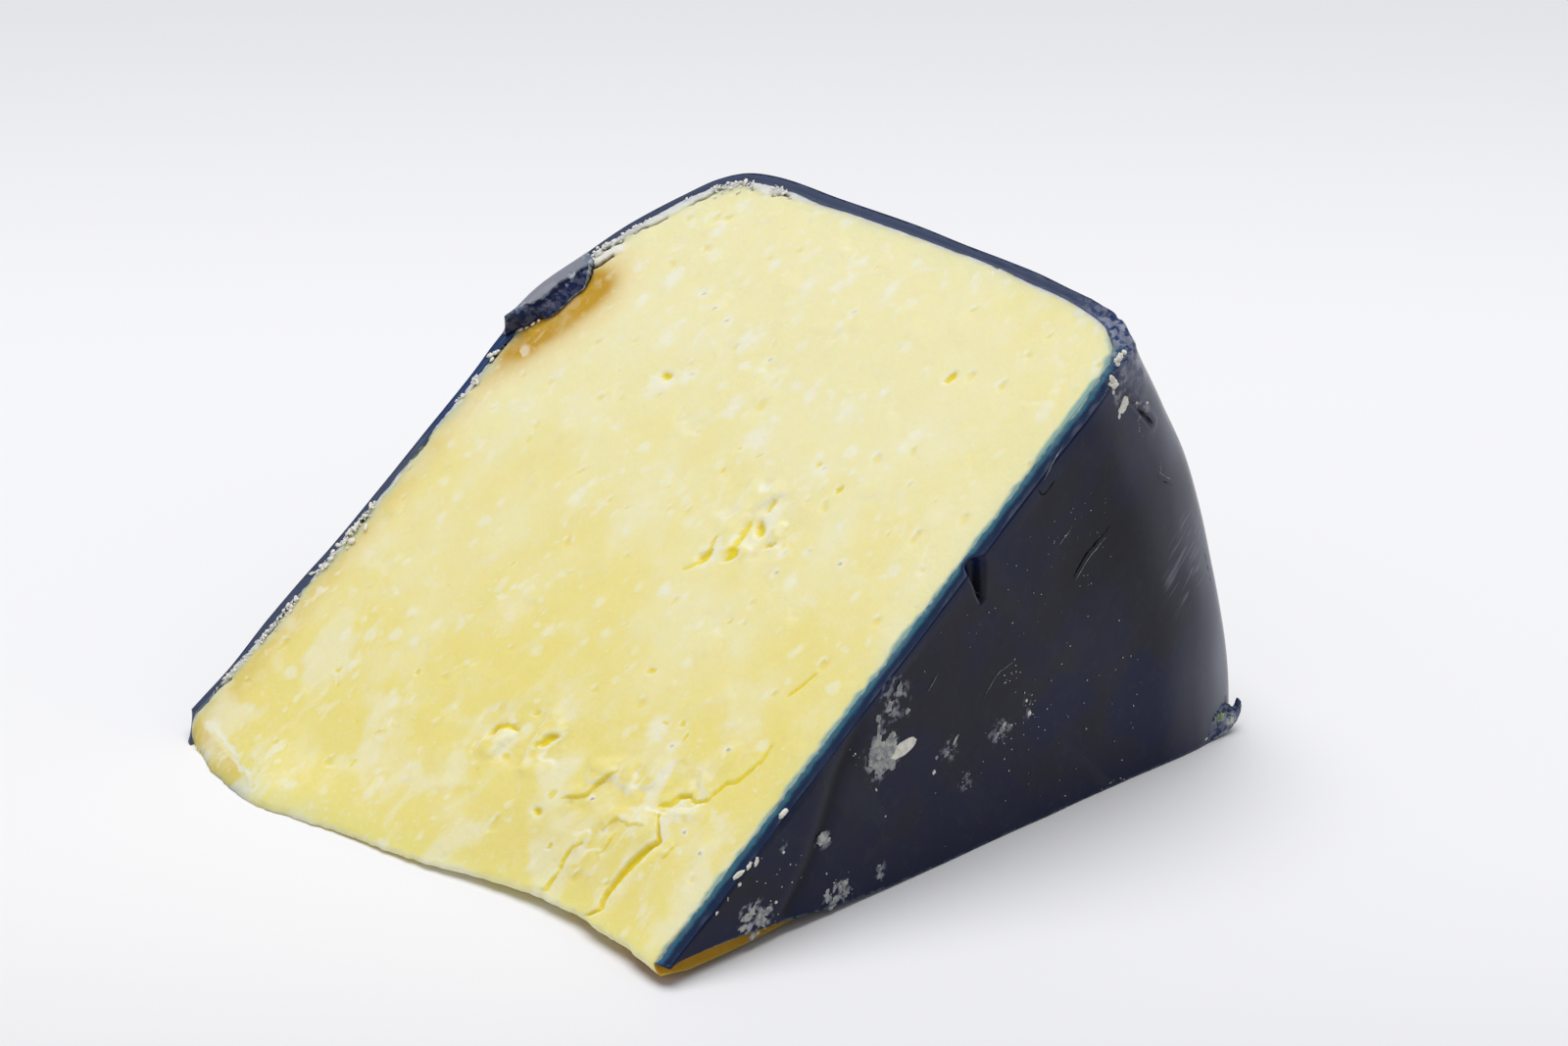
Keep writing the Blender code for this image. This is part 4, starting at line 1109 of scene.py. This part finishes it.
def buildFlap():
    # the cross-section carried along the section line: its inward numbers scaled by the reach there,
    # its upward ones by the rise, and noise added
    shape = flapShape
    u = np.linspace(0, 1, shape["columns"])[None, :]
    v = np.linspace(0, 1, shape["rows"])[:, None]
    place = shape["from"] + (shape["to"] - shape["from"]) * u + 0 * v
    line, ahead = sectionAt(place), sectionAt(place + 0.5) - sectionAt(place - 0.5)
    along = ahead[..., :2] / np.linalg.norm(ahead[..., :2], axis=-1, keepdims=True)
    reach = np.interp(u, shape["places"], shape["reach"]) * (1 + 0.03 * roughNoise(u * 11, u * 0, 81, 3))
    rise = np.interp(u, shape["places"], shape["rise"])
    jagged = 0.02 * roughNoise(u * 24, u * 0, 87, 3) * ramp(0.8, 0.85, u)
    torn = v * (np.interp(u, shape["places"], shape["until"]) + jagged)
    ridgeAt = shape["ridge"]
    grids = []
    for name in ("outside", "inside"):
        knots = np.array(shape[name])
        inwards, up = (through(torn, np.linspace(0, 1, len(knots)), knots[:, k]) for k in (0, 1))
        crease = 0.07 * roughNoise(u * 12 + 0 * v, v * 5, 82, 3) * ramp(0.3, 0.7, v)
        crest = 0.06 * np.exp(-((torn - ridgeAt) / 0.05) ** 2) - 0.02 * np.exp(-((torn - 0.70) / 0.06) ** 2)
        crease = crease + crest * ramp(0.24, 0.3, u)
        crease = crease + 0.3 * np.exp(-((u - 0.085) / 0.03) ** 2 - ((torn - 0.12) / 0.06) ** 2)
        # only the part bent over the cut is stretched
        inwards = np.where(inwards < 1, inwards, 1 + (inwards - 1) * (reach - 1) / 3.3) + 0.5 * crease
        taller = np.where(inwards < 2, rise, 1 + (rise - 1) * ramp(4.5, 2, inwards))
        up = np.where(up > 0, up * taller, up) + crease
        tear = 0.3 * roughNoise(torn * 9, v * 0 + 2.0, 83, 3) * ramp(0.9, 1.0, u)
        x = line[..., 0] + along[..., 1] * inwards + along[..., 0] * tear
        out = line[..., 1] - along[..., 0] * inwards + along[..., 1] * tear
        grids.append(onCut(x, out, up))
    points, quads = sheet(*grids)
    # a painted reflection in grey on the smooth outside up to the ridge, a painted highlight along the ridge
    # and painted light along the lower edge, dark torn roll below it and at the left, pale torn edges
    ragged = 0.02 * roughNoise(u * 9, u * 0, 84, 3)
    smoothFrom = u - 0.25 * ramp(0.55, 0.2, torn) * (u > 0.12)
    smooth = ramp(0.02, 0.12, torn) * ramp(0.62, 0.58, torn + ragged) * ramp(0.10, 0.22, smoothFrom)
    ridge = 0.9 * ramp(0.025, 0.01, np.abs(torn + ragged - ridgeAt)) * ramp(0.24, 0.3, u)
    ends = ramp(0.925, 0.96, u + 0.4 * ragged) + ramp(0.95, 0.985, v + ragged) * ramp(0.80, 0.84, u)
    lip = ramp(0.975, 0.99, v + 0.2 * ragged) * ramp(0.26, 0.3, u)
    flecks = ramp(0.15, 0.4, roughNoise(u * 26, torn * 14, 86, 3))
    lobe = ramp(*shape["lobe"], u) * ramp(0.05, 0.15, torn) * ramp(0.8, 0.6, torn)
    cluster = ramp(1.0, 0.5, np.hypot((u - 0.79) / 0.05, (torn - 0.60) / 0.08) + ragged * 8)
    roll = ramp(0.6, 0.66, torn) * ramp(0.3, 0.5, u) * ramp(0.85, 0.7, torn)
    powder = flecks * (0.9 * lobe + 0.5 * roll) + 1.5 * cluster + 0.7 * ends + 0.9 * lip
    dark = ramp(0.62, 0.66, torn + ragged) + ramp(0.28, 0.22, u)
    scrape = 0.8 * lobe + 0.25 * ramp(0.66, 0.72, torn)
    rubAndHighlight = np.clip(ridge + ends + lip + cluster + 0.5 * lobe, 0, 1)
    values = {"sheenAndScuff": bothSides(0.7 * smooth), "rubAndHighlight": bothSides(rubAndHighlight), "scrape": bothSides(scrape),
              "dust": bothSides(np.clip(powder, 0, 1)), "blue": bothSides(np.clip(dark, 0, 1), 1.0)}
    return addPiece("waxFlap", points, quads, None, wax, values)


buildFlap()


# torn wax pushed out at the foot of the rim and ending in a hook: x, y and z along its edge on the wall
# and along its free edge; the curd stuck to it: x, y, z, spread along y and z, and number
burrShape = {
    "wall": (
        (41.8, 87.4, 1.2), (41.8, 88.7, 3.0), (41.8, 89.8, 3.7), (41.75, 91.2, 4.0), (41.7, 92.3, 3.7),
        (41.65, 93.2, 2.95), (41.6, 93.75, 3.1), (41.6, 94.1, 3.8),
    ),
    "free": (
        (41.85, 87.2, 0.05), (41.95, 88.9, 0.12), (42.0, 90.5, 0.25), (42.0, 92.0, 0.5),
        (41.95, 93.0, 1.0), (41.9, 93.6, 1.5), (41.8, 94.2, 2.0), (41.7, 94.4, 3.3),
    ),
    "columns": 70,
    "rows": 26,
    "bulge": 0.25,
    "thickness": (0.7, 0.45),  # at its start and at the hook
    "pocket": (92.4, 3.0, 0.9, 0.7),  # y, z and reaches of the dark hollow
    "curd": (42.0, 90.2, 2.7, 0.8, 0.5, 110),
    "grains": (42.0, 92.1, 1.75, 0.85, 0.5, 110),
}


def buildBurr():
    # straight lines from the edge on the wall to the free edge, bulged by the product of two sines
    shape = burrShape
    u, v = np.linspace(0, 1, shape["columns"])[None, :], np.linspace(0, 1, shape["rows"])[:, None]
    knots = np.linspace(0, 1, len(shape["wall"]))
    edges = []
    for name in ("wall", "free"):
        edges.append(np.stack([through(u, knots, column) for column in zip(*shape[name])], -1))
    front = edges[0] * (1 - v[..., None]) + edges[1] * v[..., None]
    ragged = roughNoise(u * 9, v * 5, 91, 3)
    front[..., 0] += shape["bulge"] * np.sin(np.pi * v) * np.sin(np.pi * u) + 0.10 * ragged

    def near(cy, cz, reachY, reachZ):
        # distance from a place on the front in shares of the reaches
        return np.hypot((front[..., 1] - cy) / reachY, (front[..., 2] - cz) / reachZ)

    pocket = near(*shape["pocket"])
    front[..., 0] -= 0.6 * ramp(1.0, 0.3, pocket)
    front[..., 1:] += (0.10 * ragged * v)[..., None]
    front[..., 2] = np.maximum(front[..., 2], 0.02)
    back = front.copy()
    thick, thin = shape["thickness"]
    back[..., 0] -= thick + (thin - thick) * ramp(89.5, 93.5, front[..., 1])
    points, quads = sheet(front, back)
    edge = ramp(0.90, 0.98, v + 0.04 * ragged) * ramp(0.1, 0.3, u) + ramp(0.86, 0.92, u + 0.03 * ragged)
    stuck = [ramp(1.9, 0.9, near(*shape[name][1:5]) + 0.5 * ragged) for name in ("curd", "grains")]
    powdery = np.maximum(*stuck)
    values = {"blue": np.ones(len(points)), "rubAndHighlight": bothSides(np.clip(edge + powdery, 0, 1), 0.3),
              "scrape": bothSides(0 * edge + 0.6, 0.4), "shade": bothSides(0.6 * ramp(1.0, 0.5, pocket)),
              "dust": bothSides(np.clip(0.8 * powdery + 0.8 * edge, 0, 0.85))}
    return addPiece("waxBurr", points, quads, None, wax, values)


buildBurr()


def pebble(rings, around):
    # unit ball as rings from pole to pole; the poles are single points
    polar = np.linspace(0, np.pi, rings + 2)[1:-1, None]
    angle = np.linspace(0, 2 * np.pi, around, endpoint=False)[None, :]
    across = np.sin(polar)
    ring = np.stack([across * np.cos(angle), across * np.sin(angle), np.cos(polar) + 0 * angle], -1)
    points = np.concatenate([ring.reshape(-1, 3), [[0, 0, 1], [0, 0, -1]]])
    ids = np.arange(rings * around).reshape(rings, around)
    ahead = np.roll(ids, -1, axis=1)
    quads = np.stack([ids[:-1], ids[1:], ahead[1:], ahead[:-1]], -1).reshape(-1, 4)
    north = np.stack([ids[0], ahead[0], np.full(around, rings * around)], -1)
    south = np.stack([ahead[-1], ids[-1], np.full(around, rings * around + 1)], -1)
    return points, quads, np.concatenate([north, south])


# directions along, across and off the right face, and the same for the upper cut
faceAxes = ((0, 1, 0), (0, 0, 1), (1, 0, 0))
cutAxes = ((1, 0, 0), (0, cutCos, cutSin), (0, -cutSin, cutCos))


def rightFaceAt(y, z):
    # x of the right face, which curves in towards the rim
    return wedge["rightFace"] - 0.02 * np.maximum(np.hypot(y, z) - 86, 0) ** 2


def scatter(name, centres, sizes, flat, axes, material, seed, rings=4, around=7):
    # copies of a pebble, each roughened, scaled along its axes, turned about the surface's normal and moved
    centres, sizes = np.atleast_2d(centres), np.atleast_1d(sizes)
    rng = np.random.default_rng(seed)
    unit, quads, triangles = pebble(rings, around)
    count = len(centres)
    points = unit[None] * (1 + 0.38 * rng.uniform(-1, 1, (count, len(unit), 1)))
    scales = [sizes * share * rng.uniform(low, high, count)
              for share, low, high in ((1, 0.8, 1.5), (1, 0.6, 1.0), (flat, 0.7, 1.2))]
    points = points * np.stack(scales, -1)[:, None]
    spin = rng.uniform(0, 2 * np.pi, count)
    cos, sin = np.cos(spin)[:, None, None], np.sin(spin)[:, None, None]
    first, second, normal = (np.broadcast_to(np.asarray(axis, float), (count, 3))[:, None] for axis in axes)
    a, b, c = points[..., :1], points[..., 1:2], points[..., 2:]
    placed = (a * cos - b * sin) * first + (a * sin + b * cos) * second + c * normal + centres[:, None]
    quads, triangles = (copyFaces(faces, len(unit), count) for faces in (quads, triangles))
    return addPiece(name, placed.reshape(-1, 3), quads, triangles, material)


# flat smears and flakes of curd on the right face: y, z, reach each way, lean in degrees, height, raggedness
flakePlaces = {
    "smears": (
        (33.7, 17.7, 1.5, 1.0, 75, 0.30, 0.35), (35.5, 17.2, 1.4, 1.2, 40, 0.34, 0.3),
        (34.2, 15.6, 1.0, 1.1, 90, 0.32, 0.3), (35.8, 15.3, 0.8, 0.9, 60, 0.28, 0.35),
        (33.0, 16.4, 0.6, 0.7, 20, 0.25, 0.3), (36.0, 18.6, 0.5, 0.6, 70, 0.25, 0.3),
        (34.0, 19.9, 0.25, 0.9, -10, 0.14, 0.4), (37.2, 23.8, 0.7, 0.5, 60, 0.12, 0.5),
        (35.6, 22.2, 0.7, 0.45, 40, 0.12, 0.5), (34.0, 21.4, 0.3, 0.5, 0, 0.12, 0.4),
        (38.4, 20.9, 0.35, 0.3, 0, 0.10, 0.5), (25.5, 9.6, 0.85, 0.8, 30, 0.20, 0.4),
        (26.3, 9.3, 0.5, 0.7, 80, 0.12, 0.5), (14.7, 4.5, 1.3, 0.8, 30, 0.16, 0.5),
        (16.1, 3.4, 1.0, 1.2, 60, 0.14, 0.5), (13.6, 3.2, 0.5, 0.9, 80, 0.12, 0.5),
        (17.4, 4.0, 0.7, 0.5, 10, 0.18, 0.45), (15.0, 1.6, 0.8, 0.4, 20, 0.12, 0.5),
        (28.9, 3.0, 0.55, 0.4, 60, 0.25, 0.4), (28.1, 2.9, 0.2, 0.55, 0, 0.2, 0.4),
        (29.0, 1.9, 0.5, 0.45, 0, 0.2, 0.4), (26.1, 2.5, 0.45, 0.8, 10, 0.10, 0.5),
        (27.5, 1.5, 0.5, 0.45, 30, 0.12, 0.5), (26.9, 0.9, 0.6, 0.2, 10, 0.15, 0.4),
        (34.1, 3.4, 0.32, 0.2, -10, 0.2, 0.3), (34.1, 2.2, 0.25, 0.5, -15, 0.2, 0.3),
        (44.6, 13.5, 0.4, 0.3, 30, 0.08, 0.5), (46.0, 14.7, 0.7, 0.16, 50, 0.08, 0.3),
        (43.0, 13.6, 0.3, 0.25, 0, 0.08, 0.4), (53.8, 14.0, 0.4, 0.35, 40, 0.1, 0.5),
        (52.5, 12.9, 0.75, 0.1, 35, 0.06, 0.3),
    ),
    "flakes": (
        (37.6, 16.5, 2.35, 1.0, 12, 0.32, 0.10), (72.0, 47.3, 0.75, 1.15, -35, 0.35, 0.22),
        (71.3, 46.3, 0.3, 0.5, -10, 0.25, 0.3), (70.5, 50.3, 0.6, 0.55, 20, 0.45, 0.3),
        (70.2, 51.0, 0.3, 0.45, 20, 0.35, 0.3), (70.3, 49.5, 0.22, 0.4, 0, 0.25, 0.3),
        (71.6, 53.2, 0.45, 0.35, 40, 0.35, 0.3), (72.4, 53.5, 0.25, 0.25, 0, 0.3, 0.3),
        (71.2, 52.5, 0.28, 0.2, 0, 0.25, 0.3), (70.8, 53.0, 0.2, 0.3, 0, 0.2, 0.3),
        (19.7, 14.9, 0.7, 0.3, 25, 0.3, 0.25), (15.6, 10.5, 0.3, 0.5, -20, 0.25, 0.3),
        (14.6, 10.4, 0.5, 0.22, 45, 0.2, 0.3), (13.1, 9.9, 0.8, 0.28, 15, 0.22, 0.25),
        (13.1, 8.7, 0.3, 0.22, 0, 0.2, 0.3), (19.6, 10.2, 0.2, 0.15, 0, 0.2, 0.3),
        (11.4, 7.5, 0.12, 0.3, -10, 0.15, 0.3), (9.8, 6.5, 0.2, 0.35, -30, 0.15, 0.3),
        (18.5, 4.6, 0.2, 0.2, 0, 0.2, 0.3), (33.6, 12.9, 0.17, 0.4, 25, 0.18, 0.3),
        (34.5, 10.5, 0.16, 0.2, 0, 0.18, 0.2), (35.0, 9.2, 0.21, 0.2, 0, 0.2, 0.2),
        (34.3, 8.4, 0.13, 0.15, 0, 0.15, 0.2), (88.0, 0.7, 0.4, 0.18, 15, 0.25, 0.3),
        (87.0, 0.5, 0.3, 0.2, 0, 0.2, 0.3), (84.9, 2.0, 0.16, 0.14, 0, 0.15, 0.3),
        (42.6, 12.0, 0.25, 0.3, 0, 0.18, 0.3), (57.8, 14.1, 0.25, 0.3, 20, 0.18, 0.3),
        (57.3, 15.8, 0.16, 0.18, 0, 0.12, 0.3), (74.4, 47.0, 0.14, 0.16, 0, 0.12, 0.3),
        (76.3, 46.4, 0.2, 0.16, 0, 0.15, 0.3), (28.3, 9.3, 0.12, 0.5, -25, 0.12, 0.3),
    ),
}
# fine specks: y, z, spread along y and z, number and size
speckPlaces = (
    (34.5, 9.5, 1.0, 3.6, 12, 0.09), (37.0, 15.0, 2.0, 2.0, 16, 0.08), (30.5, 17.0, 1.5, 4.0, 8, 0.07),
    (15.5, 6.0, 3.0, 3.0, 30, 0.10), (28.5, 3.5, 2.0, 2.0, 14, 0.08), (29.0, 10.0, 1.0, 1.0, 5, 0.10),
    (47.8, 8.9, 1.2, 1.2, 12, 0.07), (53.0, 13.5, 2.5, 2.0, 16, 0.08), (57.5, 15.0, 1.2, 2.6, 10, 0.09),
    (55.0, 20.0, 1.4, 1.4, 10, 0.07), (72.0, 51.5, 1.4, 2.6, 26, 0.11), (74.8, 46.6, 1.6, 1.2, 18, 0.10),
    (72.0, 46.0, 1.4, 1.4, 10, 0.09), (40.0, 8.0, 9.0, 7.0, 36, 0.06), (60.0, 12.0, 12.0, 9.0, 46, 0.06),
    (70.0, 35.0, 12.0, 14.0, 50, 0.05), (80.0, 18.0, 7.0, 14.0, 50, 0.05),
    (20.0, 8.0, 6.0, 5.0, 26, 0.07), (80.0, 0.45, 9.0, 0.5, 50, 0.08), (86.5, 0.6, 2.0, 0.6, 16, 0.10),
    (56.0, 30.0, 14.0, 8.0, 40, 0.05), (77.0, 9.0, 3.0, 4.0, 40, 0.06), (75.5, 44.5, 1.5, 2.5, 24, 0.07),
)


def buildFlakes(name, rows, material, seed):
    # flat pebbles whose outline swells in and out, half sunk in the wax
    unit, quads, triangles = pebble(7, 26)
    y, z, reachY, reachZ, lean, tall, ragged = np.array(rows, float).T[..., None]
    angle = np.arctan2(unit[:, 1], unit[:, 0])[None]
    shift = np.arange(len(rows))[:, None] * 5.3
    swell = roughNoise(2.1 * np.cos(angle) + shift, 2.1 * np.sin(angle), seed, 3)
    outline = 1 + 1.9 * ragged * swell
    cos, sin = np.cos(np.radians(lean)), np.sin(np.radians(lean))
    first, second = unit[None, :, 0] * outline * reachY, unit[None, :, 1] * outline * reachZ
    bumpy = 1 + 0.35 * roughNoise(first * 1.8 + shift, second * 1.8, seed + 5, 2)
    y, z = y + first * cos - second * sin, z + first * sin + second * cos
    points = np.stack([rightFaceAt(y, z) + unit[None, :, 2] * tall * bumpy, y, z], -1)
    quads, triangles = (copyFaces(faces, len(unit), len(rows)) for faces in (quads, triangles))
    return addPiece(name, points.reshape(-1, 3), quads, triangles, material)


# scratches on the right face, dark and pale: half width, then points in y and z
markLines = {
    "dark": (
        (0.16, (64.6, 28.7), (66.7, 30.8), (69.8, 32.7), (70.9, 33.7), (73.3, 34.4)),
        (0.16, (77.5, 38.0), (78.6, 36.5), (81.0, 34.9)), (0.2, (74.6, 46.2), (76.0, 45.0), (77.4, 43.4)),
        (0.10, (58.6, 41.2), (59.6, 40.2), (61.4, 41.4)),
        (0.12, (86.9, 25.5), (88.3, 20.5), (89.2, 16.8)), (0.2, (82.6, 11.2), (82.8, 10.4)),
        (0.08, (84.6, 29.4), (86.2, 23.5), (86.4, 19.6)),
    ),
    "pale": (
        (0.07, (64.9, 28.2), (67.1, 30.3), (70.2, 32.2)), (0.08, (72.2, 31.2), (73.5, 31.5)),
        (0.08, (72.9, 32.0), (72.7, 30.7)), (0.08, (77.9, 38.2), (79.1, 36.9), (80.9, 35.6)),
        (0.08, (76.8, 34.4), (78.4, 34.4), (79.6, 32.5), (81.1, 32.0), (81.1, 32.9)),
        (0.05, (72.3, 26.4), (73.7, 27.9), (75.6, 27.7)), (0.05, (62.1, 33.4), (64.2, 34.9)),
        (0.07, (70.0, 37.5), (70.5, 39.0), (71.1, 37.8)), (0.05, (78.6, 38.9), (78.9, 37.0)),
        (0.07, (59.5, 42.0), (60.8, 43.6), (62.4, 45.3)), (0.05, (66.5, 47.5), (67.6, 46.2)),
        (0.05, (83.0, 30.5), (84.2, 26.0), (84.6, 22.0)),
        (0.05, (84.0, 31.0), (85.6, 26.5), (86.5, 22.5)),
        (0.04, (81.5, 26.5), (83.0, 29.2), (84.4, 31.8)),
        (0.04, (82.0, 24.0), (83.9, 27.4), (85.2, 29.8)),
        (0.04, (82.2, 21.5), (84.2, 24.6), (85.9, 27.2)),
        (0.04, (50.5, 18.5), (52.6, 20.6), (55.4, 21.4)), (0.04, (41.5, 22.0), (43.2, 23.8)),
    ),
}


def buildMarks(name, lines, material, values=None):
    # four-sided slivers tapering to both ends, following each line and half sunk in the wax
    points, quads, start = [], [], 0
    for half, *line in lines:
        line = np.array(line, float)
        knots = np.concatenate([[0], np.cumsum(np.hypot(*np.diff(line, axis=0).T))])
        count = max(5, int(knots[-1] / 0.25))
        at = np.linspace(0, knots[-1], count)
        centre = np.stack([through(at, knots, line[:, k]) + 0.06 * softNoise(at / 0.7, at * 0 + 4 * k, 141)
                           for k in (0, 1)], -1)
        along = np.gradient(centre, axis=0)
        along /= np.linalg.norm(along, axis=1, keepdims=True)
        taper = np.maximum(0.12, np.sin(np.pi * np.linspace(0, 1, count)) ** 0.5)
        wide = half * taper * (0.8 + 0.4 * softNoise(at / 0.5, at * 0, 142))
        (y, z), (alongY, alongZ) = centre.T, along.T
        x = rightFaceAt(y, z)
        rings = [np.stack([x + rise * wide, y - side * alongZ * wide, z + side * alongY * wide], -1)
                 for side, rise in ((-1, 0), (0, 0.6), (1, 0), (0, -0.6))]
        points.append(np.stack(rings, 1).reshape(-1, 3))
        ids = np.arange(count * 4).reshape(count, 4) + start
        ahead = np.roll(ids, -1, axis=1)
        walls = np.stack([ids[:-1], ahead[:-1], ahead[1:], ids[1:]], -1).reshape(-1, 4)
        quads += [walls, ids[:1, ::-1], ids[-1:]]
        start += count * 4
    points = np.concatenate(points)
    values = {key: np.full(len(points), value) for key, value in (values or {}).items()}
    return addPiece(name, points, np.concatenate(quads), None, material, values)


def buildSpecks():
    # crumbs spread normally round the middle of each row, with sizes spread evenly round the typical one
    rng = np.random.default_rng(7)
    centres, sizes = [], []
    for cy, cz, spreadY, spreadZ, count, typical in speckPlaces:
        y = cy + spreadY * rng.normal(0, 0.5, count)
        z = cz + spreadZ * rng.normal(0, 0.5, count)
        centres.append(np.stack([np.full(count, wedge["rightFace"] + 0.02), y, z], -1))
        sizes.append(typical * rng.uniform(0.5, 1.5, count))
    centres, sizes = np.concatenate(centres), np.concatenate(sizes)
    # only those on the face: above its foot, below the cut and short of the rim
    y, z = centres[:, 1], centres[:, 2]
    keep = (z > np.where(y > 60, 0.12, 0.9)) & (z < y * slope - 0.4) & (np.hypot(y, z) < 87)
    return scatter("waxSpecks", centres[keep], sizes[keep], 0.6, faceAxes, paleCrumb, 11, 3, 6)


def buildCurd(name, place, sizes, material, seed):
    # crumbs spread normally over a low dome, which falls with the square of the distance from its middle
    cx, cy, cz, spreadY, spreadZ, count = place
    rng = np.random.default_rng(seed)
    aside, up = np.clip(rng.normal(0, 0.55, (2, count)), -1.1, 1.1)
    centres = np.stack([cx + 0.2 - 0.12 * (aside**2 + up**2), cy + spreadY * aside, cz + spreadZ * up], -1)
    return scatter(name, centres, rng.uniform(*sizes, count), 0.6, faceAxes, material, seed + 2)


buildCurd("greenCurd", burrShape["curd"], (0.05, 0.13), greenCrumb, 29)
buildCurd("burrGrains", burrShape["grains"], (0.04, 0.10), paleCrumb, 33)
buildFlakes("waxSmears", flakePlaces["smears"], smearCrumb, 111)
buildFlakes("waxFlakes", flakePlaces["flakes"], paleCrumb, 121)
buildSpecks()
buildMarks("darkMarks", markLines["dark"], wax, {"shade": 1.0})
buildMarks("paleMarks", markLines["pale"], smearCrumb)

# dry granules along the left edge of the cut
fringeShape = {
    "grains": 2200,
    "from": 5.0,  # lengths along the section
    "to": 104.0,
    "size": 0.10,
    # single chips: length along the section, inwards and size
    "chips": (
        (56.3, 0.9, 0.40), (56.8, 1.3, 0.35), (55.8, 1.5, 0.35), (57.2, 1.5, 0.25), (61.0, 2.4, 0.3),
        (61.5, 2.9, 0.35), (62.2, 3.4, 0.3), (62.9, 3.8, 0.3), (60.7, 2.1, 0.2), (74.6, 0.9, 0.3),
        (75.2, 0.6, 0.25), (75.9, 0.9, 0.3), (28.0, 0.9, 0.5), (28.8, 1.3, 0.45), (29.5, 1.1, 0.4),
        (21.5, 0.8, 0.35),
    ),
}


def buildFringe():
    # crumbs along the section where two noises added are high, at gamma-spread distances inwards from
    # the wax and of gamma-spread sizes, then the single chips
    shape = fringeShape
    rng = np.random.default_rng(19)
    place = rng.uniform(shape["from"], shape["to"], shape["grains"])
    crowd = softNoise(place / 5.0, place * 0, 101) + 0.6 * softNoise(place / 1.7, place * 0, 102)
    place = place[(crowd + 0.5 * ramp(73, 77, place) > 0.05) & ((place < 56) | (place > 62))]
    inward = rng.gamma(1.6, 0.28, len(place)) - 0.3
    size = shape["size"] * rng.gamma(2.0, 0.5, len(place))
    chips = np.array(shape["chips"])
    place, inward, size = np.concatenate([np.stack([place, inward, size], -1), chips]).T
    line = sectionAt(place)
    # the chips' inward places start from the outside of the wax
    inward[-len(chips):] -= np.hypot(*(line[:, 2:] - line[:, :2])[-len(chips):].T)
    along = sectionAt(place + 0.1) - sectionAt(place - 0.1)
    length = np.hypot(along[:, 2], along[:, 3])
    x, out = line[:, 2] + along[:, 3] / length * inward, line[:, 3] - along[:, 2] / length * inward
    centres = onCut(x, out, 0.05 + 0.2 * size)
    centres[:, 2] += upperCut(x, out * cutCos) - out * cutSin
    return scatter("edgeGrains", centres, size, 0.5, cutAxes, fringeCrumb, 23)


buildFringe()
print("pieces made")


studio = {
    "floorSize": 8.0,
    "floorDrop": 0.00005,  # below the object's foot
    "floorTone": color("f5f5f7"),
    # painted shade of the floor, away from the object and towards the camera
    "farShadeTone": color("e0e0e4"),
    "viewWay": (-0.725, 0.689),  # the level direction away from the viewer, x and y
    "farFrom": (0.10, 0.36),  # metres that way where the far painted shade begins and is full
    "nearFrom": (-0.02, -0.13),  # and towards the viewer, where it is weaker
    "nearShare": 0.75,
    "skyTone": (0.96, 0.97, 1.0, 1.0),
    "skyStrength": 0.31,
    "lights": (
        # name, place, size, watts
        ("ceiling", (-0.10, 0.07, 1.2), 1.2, 13.0),
    ),
    "cameraPlace": (382.94, -303.95, 252.58),  # millimetres from the tip line
    "cameraYaw": 46.48,
    "cameraPitch": -23.43,
    "cameraRoll": -0.19,
    "lens": 112.5,
    "sensor": 36.0,
    "clip": (0.01, 50.0),
}


def buildStudio():
    half = studio["floorSize"] / 2
    floorMaterial, tree, shader = newMaterial("studio_floor", Roughness=0.9, Specular_IOR_Level=0.1)
    # painted shade: a little darker both away from the object and towards the camera
    place = addNode(tree, "ShaderNodeSeparateXYZ", {0: objectPlace(tree)})
    away = maths(tree, "MULTIPLY", place.outputs[1], studio["viewWay"][1])
    away = maths(tree, "MULTIPLY_ADD", place.outputs[0], studio["viewWay"][0], away)
    near = remap(tree, away, *studio["nearFrom"], 0.0, studio["nearShare"])
    edge = maths(tree, "MAXIMUM", remap(tree, away, *studio["farFrom"]), near)
    tree.links.new(blend(tree, edge, studio["floorTone"], studio["farShadeTone"]), shader.inputs["Base Color"])
    mesh = bpy.data.meshes.new("floor")
    level = cadLow.z - studio["floorDrop"]
    corners = [(x * half, y * half, level) for x, y in ((-1, -1), (1, -1), (1, 1), (-1, 1))]
    mesh.from_pydata(corners, [], [(0, 1, 2, 3)])
    mesh.materials.append(floorMaterial)
    floor = bpy.data.objects.new("floor", mesh)
    bpy.context.scene.collection.objects.link(floor)
    world = bpy.data.worlds.new("studio")
    world.use_nodes = True
    sky = world.node_tree.nodes["Background"].inputs
    sky[0].default_value, sky[1].default_value = studio["skyTone"], studio["skyStrength"]
    bpy.context.scene.world = world
    middle = (cadLow + cadHigh) / 2
    for name, place, size, watts in studio["lights"]:
        light = bpy.data.lights.new(name, "AREA")
        light.shape = "DISK"
        light.size = size
        light.energy = watts
        lamp = bpy.data.objects.new(name, light)
        lamp.location = place
        lamp.rotation_euler = (middle - lamp.location).to_track_quat("-Z", "Y").to_euler()
        bpy.context.scene.collection.objects.link(lamp)
    lens = bpy.data.cameras.new("camera")
    lens.lens, lens.sensor_width = studio["lens"], studio["sensor"]
    lens.clip_start, lens.clip_end = studio["clip"]
    camera = bpy.data.objects.new("camera", lens)
    turn = (Matrix.Rotation(math.radians(studio["cameraYaw"]), 4, "Z")
            @ Matrix.Rotation(math.radians(90 + studio["cameraPitch"]), 4, "X")
            @ Matrix.Rotation(math.radians(studio["cameraRoll"]), 4, "Z"))
    camera.matrix_world = Matrix.Translation(inFrame([studio["cameraPlace"]])[0]) @ turn
    bpy.context.scene.collection.objects.link(camera)
    bpy.context.scene.camera = camera
    bpy.context.scene.view_settings.view_transform = "Standard"
    bpy.context.scene.view_settings.look = "None"


buildStudio()
print("studio made")
